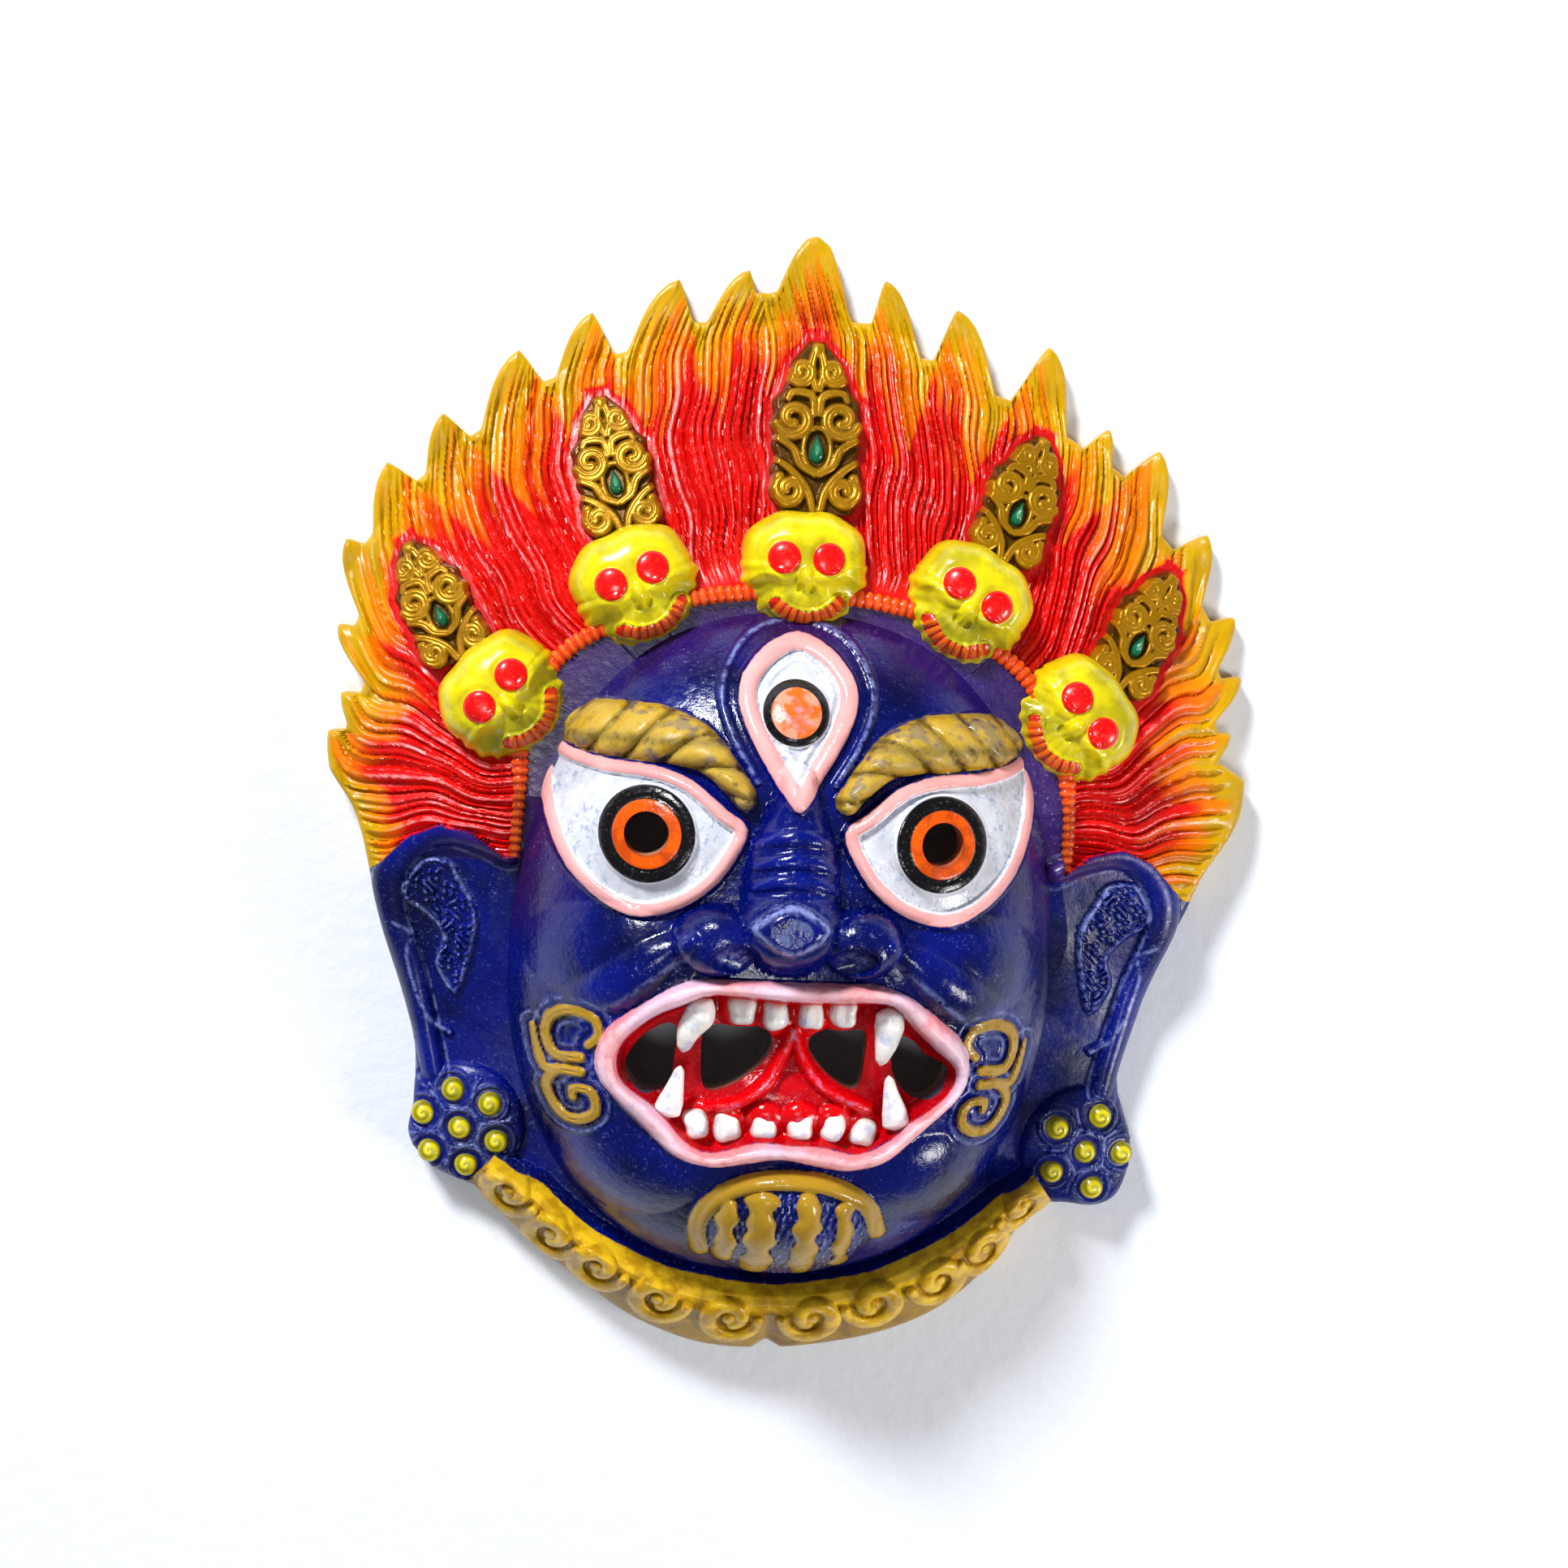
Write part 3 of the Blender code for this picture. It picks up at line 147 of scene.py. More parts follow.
def ellipse(centre, radii, count, squareness=2.0, turn=0.0):
    """Points round a superellipse: x = a sign(c)|c|^(2/n), y = b sign(s)|s|^(2/n), then turned."""
    a = np.arange(count) * 2 * math.pi / count
    c, s = np.cos(a), np.sin(a)
    x = radii[0] * np.sign(c) * np.abs(c) ** (2 / squareness)
    y = radii[1] * np.sign(s) * np.abs(s) ** (2 / squareness)
    cos, sin = math.cos(math.radians(turn)), math.sin(math.radians(turn))
    return np.stack([centre[0] + x * cos - y * sin, centre[1] + x * sin + y * cos], 1)


def nearest(p, path, reach=9.0):
    """Distance to a path and how far along it, 0 to 1: over each straight piece from a, a point's
    foot is a + t(b-a) with t = (p-a).(b-a)/|b-a|2 held to 0..1. Beyond reach it just says reach."""
    length = np.hypot(*np.diff(path, axis=0).T)
    start = np.concatenate([[0], np.cumsum(length)])
    gap, along = np.full(len(p), reach), np.zeros(len(p))
    close = np.flatnonzero(((p > path.min(0) - reach) & (p < path.max(0) + reach)).all(1))
    q, best, place = p[close], np.full(len(close), reach), np.zeros(len(close))
    for a, b, size, at in zip(path[:-1], path[1:], length, start):
        way = (b - a) / max(size, 1e-9)
        t = np.clip((q - a) @ way, 0, size)
        off = np.hypot(q[:, 0] - a[0] - t * way[0], q[:, 1] - a[1] - t * way[1])
        better = off < best
        best[better], place[better] = off[better], at + t[better]
    gap[close], along[close] = best, place / start[-1]
    return gap, along


def inside(p, loop):
    """Whether a point lies in the loop: a ray to the right crosses an odd number of sides."""
    odd = np.zeros(len(p), bool)
    for a, b in zip(loop, np.roll(loop, -1, axis=0)):
        if a[1] != b[1]:
            crosses = (a[1] > p[:, 1]) != (b[1] > p[:, 1])
            odd ^= crosses & (p[:, 0] < a[0] + (p[:, 1] - a[1]) * (b[0] - a[0]) / (b[1] - a[1]))
    return odd


def depth_in(p, loop, reach=9.0):
    """Distance inside the loop, negative outside."""
    gap, _ = nearest(p, shut(loop), reach)
    return np.where(inside(p, loop), gap, -gap)


def step(x, low, high):
    """0 below low and 1 above high, with a smooth rise 3t2 - 2t3 between them."""
    t = np.clip((x - low) / (high - low), 0, 1)
    return t * t * (3 - 2 * t)


def rounded(gap, half, power=1.0):
    """A rounded crest (1 - (gap/half)^2)^power, and 0 beyond half."""
    return np.clip(1 - (gap / half) ** 2, 0, 1) ** power


def tent(gap, half):
    """A sharp crest: 1 where the gap is 0, falling evenly to 0 at half on either side."""
    return np.clip(1 - np.abs(gap) / half, 0, 1)


def wave(x, turns=1):
    """0 in the middle of each turn and 1 between two turns."""
    return np.abs((x * turns) % 1.0 - 0.5) * 2


def polar(p):
    """Direction and reach from the hub, with directions from -90 to 270 degrees."""
    x, y = (p - HUB).T
    a = np.degrees(np.arctan2(y, x))
    return np.where(a < -90, a + 360, a), np.hypot(x, y)


def on_spoke(angle, r):
    a = np.radians(angle)
    return np.stack([HUB[0] + r * np.cos(a), HUB[1] + r * np.sin(a)], -1)


# %% The outline as reach by direction
def outline_table():
    """Each flame climbs gently to its tip on the side away from the top and drops steeply into a
    flat-bottomed notch on the other. The corners are rounded by a short running mean."""
    knots = [FLAME_ENDS[0]]
    gentle = np.linspace(0, 1, 7)[1:-1]
    for tip, reach, notch, low in FLAMES:
        base_angle, base = knots[-1]
        if reach == max(f[1] for f in FLAMES):
            knots += list(TOP_FLAME)
        elif tip > 90:
            knots += [(base_angle + (tip - base_angle) * g,
                       base + (reach - base) * math.sin(g * math.pi / 2) ** 1.1) for g in gentle]
            knots.append((tip, reach))
            knots += [(tip + (notch - tip) * w, low + (reach - low) * h) for w, h in STEEP_SIDE]
        else:
            knots += [(tip + (base_angle - tip) * w,
                       base + (reach - base) * h) for w, h in STEEP_SIDE[::-1]]
            knots.append((tip, reach))
            knots += [(tip + (notch - tip) * g,
                       low + (reach - low) * math.cos(g * math.pi / 2) ** 1.1) for g in gentle]
        knots.append((notch, low))
    knots.append(FLAME_ENDS[1])
    right = curve(RIGHT_SIDE[::-1] + FLAME_ENDS[1:], 6)
    left = curve(FLAME_ENDS[:1] + LEFT_SIDE[::-1], 6)
    last = (RIGHT_SIDE[-1][0] + 360, RIGHT_SIDE[-1][1])
    trim = curve((LEFT_SIDE[0],) + JAW_TRIM + (last,), 6)
    angle = np.arange(-90, 270, 0.1)
    flames = np.array(sorted(knots))
    reach = np.interp(angle, flames[:, 0], flames[:, 1])
    for part in (right, left, trim, trim - (360, 0)):
        part = part[np.argsort(part[:, 0])]
        held = (angle >= part[0, 0]) & (angle <= part[-1, 0])
        reach[held] = np.interp(angle[held], part[:, 0], part[:, 1])
    notch, depth, spread = BEARD_NOTCH
    away = np.abs((angle - notch + 180) % 360 - 180)
    reach -= depth * np.clip(1 - away / spread, 0, 1)
    size = int(TIP_ROUND_DEG / 0.1)
    return angle, np.mean([np.roll(reach, k) for k in range(-size, size + 1)], 0)


def thinned(loop, slack):
    """A closed loop without the points that lie within slack of the line between their neighbours."""
    def thin(part):
        a, b = part[0], part[-1]
        line = (b - a) / max(np.hypot(*(b - a)), 1e-9)
        off = np.abs((part[:, 0] - a[0]) * line[1] - (part[:, 1] - a[1]) * line[0])
        k = off.argmax()
        return [a] if off[k] < slack else thin(part[: k + 1]) + thin(part[k:])
    half = len(loop) // 2
    return np.array(thin(loop[: half + 1]) + thin(np.concatenate([loop[half:], loop[:1]])))


ANGLES, REACHES = outline_table()
OUTLINE = thinned(on_spoke(ANGLES, REACHES), 0.25)
MIDDLE = (OUTLINE.min(0) + OUTLINE.max(0)) / 2
UNIT = HEIGHT / np.ptp(OUTLINE[:, 1])


def reach_at(angle):
    return np.interp(angle, ANGLES, REACHES, period=360)


print("one drawing unit is", round(UNIT * 1000, 4), "mm; outline centred on", MIDDLE.round(2))

# %% [markdown]
# ## Plain forms under the carving
#
# Three plain forms carry everything: a domed face, a sloping plate round it, and the hollow
# behind, which follows both a wall's thickness below. Each is a height over the plan, so the
# carving can be added to it as more height.


# %% Dome, plate and hollow back
def band_radius(angle):
    """Distance of the crown band from the hub: 50, and 8.4 less at the top by sin cubed."""
    return 50.0 - 8.4 * np.clip(np.sin(np.radians(angle)), 0, 1) ** 3


def plate_height(p):
    """The sloping ground: from the outline up to the band as the 0.85th power of the way in."""
    angle, r = polar(p)
    crown = BAND_DEPTH / UNIT
    high = np.interp(angle, (-90, -52, -34, 4, 176, 214, 232, 270),
                     (10.0, 9.0, 11.0, crown, crown, 11.0, 9.0, 10.0))
    beside = step(np.abs(angle - 90), 96, 116)
    inner = band_radius(angle) * (1 - beside) + 57.0 * beside
    inner = inner + 16.0 * step(np.abs(angle - 90), 130, 150)
    outer = FLAME_REACH + (reach_at(angle) - FLAME_REACH) * beside
    low = EDGE_HEIGHT / UNIT
    share = np.clip(1 - (r - inner) / np.maximum(outer - inner, 4.0), 0, 1)
    return low + (high - low) * share**0.85


def dome_share(p, shrink=0.0):
    """The face's superellipse: 0 at its middle and 1 at its border."""
    x, y = (p - FACE_CENTRE).T
    n = FACE_SQUARENESS
    u = np.abs(x) / (FACE_HALF_WIDTH - shrink)
    v = np.where(y > 0, y / (FACE_UP - shrink), -y / (FACE_DOWN - shrink))
    return (u**n + v**n) ** (1 / n)


def dome_height(p, shrink=0.0, sink=0.0):
    """Foot + (crown - foot) (1 - share^2.5)^0.56."""
    share = dome_share(p, shrink)
    crown = FACE_DEPTH / UNIT - sink
    z = FACE_FOOT + (crown - FACE_FOOT) * np.clip(1 - share**2.5, 0, 1) ** 0.56
    return np.where(share < 1, z, -1.0)


def back_height(p):
    """The hollow: plain forms a wall's thickness down, flat at the rim."""
    angle, r = polar(p)
    wall, land = WALL / UNIT, RIM_LAND / UNIT
    open_share = step(reach_at(angle) - r, land, land + 6.0)
    sunk = MOUTH_SINK * step(depth_in(p, MOUTH_LOOP), -3.0, 1.0)
    inner = np.maximum(plate_height(p) - wall - 1.47,
                       dome_height(p, shrink=wall * 1.25, sink=wall) - sunk)
    return np.maximum(inner, 0) * open_share


# %% Beads, bumps and pads
def ridge(p, path, widths, height, power=0.6):
    """A rounded bead along a path: height (1 - (gap/half)^2)^power, half widths from start to end."""
    gap, t = nearest(p, path)
    half = np.interp(t, np.linspace(0, 1, len(widths)), widths)
    return height * rounded(gap, half, power)


def bump(p, centre, radii, height, power=1.0):
    """A rounded swelling over an ellipse, height (1 - share^2)^power."""
    u, v = ((p - centre) / radii).T
    return height * np.clip(1 - u * u - v * v, 0, 1) ** power


def boss(p, centre, radii, height, squareness=2.0, power=0.4):
    """A pad with steep sides and a nearly flat top, height (1 - share^3)^power."""
    u, v = np.abs((p - centre) / radii).T
    share = (u**squareness + v**squareness) ** (1 / squareness)
    return height * np.clip(1 - share**3, 0, 1) ** power


def evenly(path, count):
    """The same path with points at even distances."""
    length = np.concatenate([[0], np.cumsum(np.hypot(*np.diff(path, axis=0).T))])
    at = np.linspace(0, length[-1], count)
    return np.stack([np.interp(at, length, path[:, 0]), np.interp(at, length, path[:, 1])], 1)


def spiral(centre, radius, turns, start, sense, inner):
    """A path that winds in: its radius falls evenly from radius to inner times radius."""
    t = np.linspace(0, 1, 36)
    a = math.radians(start) + sense * t * turns * 2 * math.pi
    r = radius * (1 - (1 - inner) * t)
    return np.stack([centre[0] + r * np.cos(a), centre[1] + r * np.sin(a)], 1)


# %% Features of the face on the drawing
EYE_LOOP = (
    (8.6, -4.6), (12.1, -1.7), (17.8, 2.9), (24.4, 5.0), (32.4, 5.5), (39.0, 7.0), (43.0, 8.6),
    (43.6, 2.2), (42.4, -4.4), (39.4, -11.0), (35.4, -15.4), (30.7, -18.4), (25.4, -19.6),
    (19.2, -17.9), (14.1, -14.3), (10.6, -9.7),
)
IRIS = (25.1, -6.0)
BROW = ((8.6, 0.6), (11.0, 3.6), (15.5, 8.0), (21.5, 10.3), (28.5, 11.0), (36.0, 11.3),
        (42.5, 11.4))
BROW_WIDTHS = (2.2, 2.8, 4.2, 5.0, 5.0, 4.6, 2.2)
THIRD_EYE = ((0.0, 28.8), (5.6, 26.2), (9.3, 21.5), (10.0, 17.0), (8.2, 11.5), (5.0, 5.8),
             (2.0, 1.2), (0.0, -0.8))
THIRD_IRIS = (-0.4, 15.2)
THIRD_CONTOUR = ((1.4, 31.6), (8.2, 28.6), (12.2, 22.6), (13.0, 16.6), (10.4, 9.6), (6.6, 3.4))
MOUTH = (
    (0.0, -29.8), (8.0, -29.8), (15.0, -30.0), (20.0, -31.7), (25.6, -35.6), (30.6, -40.0),
    (32.4, -44.6), (31.4, -49.4), (26.4, -54.4), (21.6, -58.8), (17.6, -61.8), (12.0, -63.3),
    (6.0, -62.4), (0.0, -61.3),
)
LIP_INSIDE = (
    (-28.6, -45.9), (-27.5, -41.9), (-22.9, -37.3), (-17.7, -34.7), (-12.1, -32.6), (0.7, -33.3),
    (12.2, -33.2), (17.9, -33.8), (21.7, -37.7), (25.9, -41.6), (29.6, -45.0), (29.4, -48.6),
    (25.9, -52.1), (22.0, -54.6), (19.1, -57.4), (13.4, -60.1), (7.6, -58.9), (1.8, -58.6),
    (-4.4, -58.3), (-11.8, -60.6), (-16.3, -58.9), (-19.1, -55.9), (-22.7, -52.4), (-27.2, -49.4),
)
MOUTH_SINK = 6.0
MOUTH_HOLES = (
    ((-27.1, -47.0), (-25.0, -42.4), (-21.0, -39.2), (-18.5, -39.6), (-18.7, -45.0),
     (-19.6, -50.2), (-24.0, -51.1)),
    ((-13.6, -39.3), (-8.2, -38.5), (-3.2, -39.0), (-2.1, -42.4), (-5.2, -46.7), (-9.9, -49.7),
     (-13.4, -49.9), (-14.2, -44.6)),
    ((5.2, -39.2), (9.5, -38.7), (13.9, -39.2), (14.0, -44.0), (13.2, -49.0), (10.6, -48.9),
     (6.9, -46.1), (4.2, -42.2)),
    ((19.2, -39.9), (22.6, -40.9), (25.2, -43.4), (28.9, -45.6), (28.0, -49.3), (25.0, -51.4),
     (21.6, -50.1), (18.9, -45.6)),
)
TONGUE_FOLDS = (
    ((1.4, -39.0), (-0.4, -43.8), (-2.9, -48.4), (-8.1, -52.1), (-12.5, -53.2)),
    ((1.4, -39.0), (3.6, -44.6), (6.9, -48.6), (11.5, -51.1), (15.1, -52.8)),
)
CHEEK_FOLD = ((17.5, -23.0), (23.0, -27.0), (29.5, -32.4), (35.0, -36.0))
UPPER_CURL = ((-34.9, -45.9), (-39.4, -46.1), (-41.1, -43.1), (-40.7, -40.0), (-38.7, -38.2),
              (-35.7, -37.6), (-32.7, -38.7), (-31.8, -41.3), (-33.5, -43.4))
LOWER_CURL = ((-34.8, -48.5), (-38.8, -48.9), (-40.7, -51.7), (-39.9, -54.8), (-37.5, -57.3),
              (-34.5, -57.4), (-32.0, -55.6), (-32.1, -53.0), (-33.7, -51.5), (-36.0, -51.9),
              (-35.9, -53.4))
CURL_STALK = ((-43.6, -41.8), (-42.7, -45.9), (-41.4, -48.9), (-38.9, -49.1))
CURL_EDGE = 2.2
NOSE_DIAMOND = (-0.6, -20.2)
NOSE_WRINKLES = (-5.4, -9.2, -12.6)
# Middle and radii of each wing of the nose, and the middle of its nostril
NOSE_WINGS = (((-12.6, -23.2), (7.6, 6.2), (-9.6, -25.8)),
              ((12.0, -23.0), (7.2, 6.2), (10.4, -25.6)))
CHIN = (2.4, -75.6)
CHIN_RADII = (16.0, 12.5)
CHIN_ARCH = ((-12.6, -81.0), (-13.4, -74.4), (-9.6, -68.2), (-2.2, -65.0), (7.9, -65.4),
             (15.6, -69.8), (18.6, -76.4))
# Each lock of the chin: its x, top, foot and half width
CHIN_LOCKS = ((-8.6, -70.2, -81.4, 1.7), (-2.8, -68.8, -83.4, 2.5), (5.2, -68.4, -83.4, 2.2),
              (11.9, -69.8, -82.0, 1.6))
BAND_ARCH = ((51.0, -14.0), (50.2, 0.0), (48.2, 10.5), (43.4, 20.0), (35.8, 27.0), (20.0, 33.6),
             (0.0, 36.4))
MOUTH_LOOP = curve(both_halves(MOUTH), 3, closed=True)
LIP_LOOP = curve(LIP_INSIDE, 3, closed=True)
THIRD_LOOP = curve(both_halves(THIRD_EYE), 3, closed=True)
# On the left the band stands closer in, by up to 2.9 at the brows and below them
LEFT_ARCH = tuple((-x + 2.9 * min(max((14.0 - y) / 14.0, 0.0), 1.0), y) for x, y in BAND_ARCH)
ARCH = np.concatenate([curve(BAND_ARCH, 3), curve(LEFT_ARCH, 3)[-2::-1]])
PURPLE_REACH = 24.0
HOLES = [ellipse((s * IRIS[0], IRIS[1]), (PUPIL_RADIUS / UNIT,) * 2, 48) for s in (1, -1)]
HOLES += [curve(hole, 4, closed=True) for hole in MOUTH_HOLES]


def on_side(points, sign):
    return [(sign * x, y) for x, y in points]


print("mouth", np.ptp(MOUTH_LOOP, axis=0).round(1), "units;", len(HOLES), "holes through the wall")


# %% [markdown]
# ## Carving of the face
#
# The carving is a relief added to the dome: beads for lids, lips and curls, pads for brows and
# nose. Alongside the height, the same distances are kept as numbers on each corner of the mesh.
# The paint reads them later, so every colour ends exactly where its carved form ends.


# %% A carving with its painting guides
class Carving:
    """Relief over a plain form, and the guides: distances inside each painted form, in drawing
    units. Where two forms meet, the higher one is seen."""

    def __init__(self, p, relief, **guides):
        self.p, self.relief = p, relief
        self.guides = {name: np.full(len(p), start) for name, start in guides.items()}

    def over(self, height):
        self.relief = np.maximum(self.relief, height)

    def mark(self, name, value):
        self.guides[name] = np.maximum(self.guides[name], value)

    def pale_line(self, path, half, strength=1.0):
        gap, _ = nearest(self.p, path, 3.0)
        self.mark("pale", strength * tent(gap, half))


# %% Plain face and nose
def face_ground(p):
    """The dome with cheeks, jowls, eyeballs, chin and nose."""
    z = dome_height(p)
    for sign in (1, -1):
        z = z + bump(p, (sign * 31.0, -27.5), (15.0, 9.5), 3.0)
        z = z + bump(p, (sign * 27.0, -66.0), (14.0, 9.0), 2.6)
        z = z + bump(p, (sign * IRIS[0], IRIS[1]), (15.5, 13.0), 2.6)
    z = z + bump(p, CHIN, CHIN_RADII, 6.5, power=0.8)
    bridge = ridge(p, np.array([(0.0, 4.0), (-0.4, -12.0), (-0.5, -20.0)]), (3.0, 7.6, 9.0), 6.0)
    nose = np.maximum(bridge, boss(p, (-0.5, -20.4), (9.6, 7.6), 8.4, power=0.6))
    for wing, radii, nostril in NOSE_WINGS:
        nose = np.maximum(nose, boss(p, wing, radii, 7.0, power=0.6))
        nose = nose - bump(p, nostril, (4.2, 2.6), 4.0, power=0.7)
    return z + nose


def carve_nose(c):
    """Wrinkles over the bridge, a pale line round the diamond and pale scratches in the nostrils."""
    scratches = wave(c.p[:, 0] + 0.6 * np.sin(c.p[:, 1] * 3.0), 0.9)
    for _, _, nostril in NOSE_WINGS:
        share = np.hypot(*((c.p - nostril) / (3.4, 2.0)).T)
        c.mark("pale", 0.9 * np.clip(2 - 2 * share, 0, 1) * (1 - scratches))
    c.pale_line(shut(ellipse(NOSE_DIAMOND, (6.3, 4.0), 40, 1.35)), 0.9)
    for y in NOSE_WRINKLES:
        path = np.array([(-7.0, y - 1.2), (-3.2, y), (0.0, y + 0.4), (3.2, y), (7.0, y - 1.2)])
        c.over(ridge(c.p, path, (0.8, 1.5, 0.8), 0.9))


# %% Eyes, brows and cheeks
def carve_eye(c, sign):
    """Lid, iris and twisted brow on one side."""
    p = c.p
    deep = depth_in(p, curve(on_side(EYE_LOOP, sign), 3, closed=True))
    c.mark("eye", deep)
    c.over(1.9 * rounded(deep - 0.6, 1.5, 0.6))
    gap = np.hypot(p[:, 0] - sign * IRIS[0], p[:, 1] - IRIS[1])
    c.guides["iris"] = np.minimum(c.guides["iris"], gap)
    iris_groove = 0.35 * step(-np.abs(gap - 6.2), -0.5, 0)
    c.over(1.5 * (1 - step(gap, 8.0, 8.7)) - iris_groove)
    path = evenly(curve(on_side(BROW, sign), 4), 25)
    gap, along = nearest(p, path)
    half = np.interp(along, np.linspace(0, 1, len(BROW_WIDTHS)), BROW_WIDTHS)
    side = p[:, 1] - np.interp(sign * p[:, 0], path[:, 0] * sign, path[:, 1])
    groove = wave(along + side * 0.02, 5.5) ** 3
    brow = 5.2 * rounded(gap, half, 0.6)
    c.over(brow - 1.9 * groove * (brow > 0))
    c.mark("brow", half - gap)
    c.mark("crease", groove)


def carve_cheek(c, sign):
    """The fold beside the mouth, and three gold cords inside a thin raised contour."""
    fold = curve(on_side(CHEEK_FOLD, sign), 3)
    c.over(ridge(c.p, fold, (2.0, 3.6, 4.6, 4.0), 1.5, power=1.0))
    c.pale_line(fold + (0.0, -3.2), 0.7, 0.6)
    for points, widths in ((UPPER_CURL, (1.0, 1.1, 0.8)), (LOWER_CURL, (1.0, 1.1, 0.8)),
                           (CURL_STALK, (0.6, 1.0, 1.0))):
        gap, along = nearest(c.p, curve(on_side(points, -sign), 3))
        half = np.interp(along, (0, 0.5, 1), widths)
        c.over(1.5 * rounded(gap, half, 0.5) - 0.5 * tent(gap, 0.35))
        c.mark("gold", half - gap)
        c.over(0.5 * rounded(gap - CURL_EDGE, 0.6))
        c.mark("pale", 0.7 * tent(gap - CURL_EDGE, 0.35))


# %% Third eye, chin and mouth
def carve_third_eye(c):
    """Two lids, a round iris and a contour line on either side."""
    for sign in (1, -1):
        contour = curve(on_side(THIRD_CONTOUR, sign), 4)
        c.over(ridge(c.p, contour, (0.8, 0.8), 0.8))
        c.pale_line(contour, 0.5, 0.8)
    deep = depth_in(c.p, THIRD_LOOP)
    gap = np.hypot(*(c.p - THIRD_IRIS).T)
    c.guides["third"], c.guides["third_iris"] = deep, gap
    c.over(1.8 * rounded(deep - 1.2, 1.8, 0.6))
    c.over(0.6 * rounded(deep - 4.2, 0.6))
    c.over(2.6 * rounded(gap, 6.0, 0.5))


def carve_chin(c):
    """An arch with wavy gold locks below it and thin pale lines between them."""
    p = c.p
    gap, _ = nearest(p, curve(CHIN_ARCH, 4))
    c.over(1.9 * rounded(gap, 1.7, 0.6))
    c.mark("gold", 1.6 - gap)
    under = step(depth_in(p, ellipse((2.6, -76.5), (15.4, 11.4), 40)), 1.4, 2.2)
    sway = 0.34 * np.sin(p[:, 1] * 0.9 + p[:, 0] * 0.5)
    swayed = p - np.stack([sway, np.zeros(len(p))], 1)
    for x, top, foot, half in CHIN_LOCKS:
        gap, _ = nearest(swayed, np.array([(x, top), (x, foot)]))
        half = half * (1 + 0.14 * np.sin(p[:, 1] * 1.5 + x))
        c.over(1.7 * rounded(gap, half, 0.5))
        c.mark("gold", half - gap)
    lines = wave(p[:, 0] + sway * 1.3, 0.8)
    fine = under * (c.guides["gold"] < -0.1)
    c.relief = c.relief + 0.5 * fine * (1 - lines)
    c.mark("pale", 0.9 * fine * step(1 - lines, 0.8, 0.95))


def carve_mouth(c):
    """The lips' bead between two loops. It gives back how far a point is sunk into the mouth, 0 to
    1, and the height of the tongue, its folds and the gums over the mouth's floor."""
    p = c.p
    outer, inner = depth_in(p, MOUTH_LOOP), depth_in(p, LIP_LOOP)
    across = np.clip(outer / np.maximum(outer - inner, 1e-3), 0, 1)
    on_lip = (outer > 0) & (inner < 0)
    c.over(np.where(on_lip, 3.4 * (1 - (2 * across - 1) ** 2) ** 0.6, 0))
    c.guides["lip"], c.guides["mouth"] = np.minimum(outer, -inner), inner
    folds = np.zeros(len(p))
    for points in TONGUE_FOLDS:
        folds = np.maximum(folds, ridge(p, curve(points, 4), (1.2, 1.3, 1.3), 2.4))
    for centre, half, _ in TEETH:
        folds = np.maximum(folds, bump(p, centre, (half[0] + 1.4, half[1] + 1.6), 2.4, power=0.5))
    return step(inner, -0.2, 1.8), folds


def face_fields(p):
    """Height over the plan, and the guides."""
    c = Carving(p, boss(p, NOSE_DIAMOND, (6.8, 4.4), 2.4, 1.35, power=0.35),
                brow=-9.0, gold=-9.0, eye=-9.0, pale=0.0, iris=30.0, crease=0.0)
    for sign in (1, -1):
        carve_eye(c, sign)
        carve_cheek(c, sign)
    carve_nose(c)
    carve_third_eye(c)
    carve_chin(c)
    sunk, folds = carve_mouth(c)
    floor = -MOUTH_SINK + bump(p, (0.8, -52.5), (17.0, 6.0), 2.6)
    c.guides["relief"] = c.relief * (1 - sunk) + folds * sunk
    c.guides["purple"] = nearest(p, ARCH, PURPLE_REACH)[0]
    z = face_ground(p) + c.relief * (1 - sunk) + sunk * (floor + folds)
    return np.where(dome_share(p) < 1, z, -1.0), c.guides


# Teeth: place, half width and half length, lean in degrees
TEETH = (
    ((-7.6, -35.4), (2.5, 2.7), 0), ((-1.9, -36.2), (2.3, 2.7), 3), ((4.2, -35.9), (2.2, 2.7), 0),
    ((9.7, -35.5), (2.4, 2.6), -4), ((-14.5, -56.1), (2.2, 2.8), 14), ((-9.2, -56.4), (2.5, 2.8), 4),
    ((-2.9, -55.8), (2.4, 2.8), 0), ((3.2, -55.5), (2.5, 2.8), 0), ((9.0, -55.7), (2.2, 2.8), -6),
    ((14.4, -56.8), (2.3, 2.6), -16),
)

# %% [markdown]
# ## Meshes from heights
#
# The face is a square net cut to the dome's border and the six holes. Border corners slide onto
# the line, so edges are smooth at any size of square. Its plain back needs only large triangles.
# The ring outside the face is a polar net instead, whose columns run along the flames.


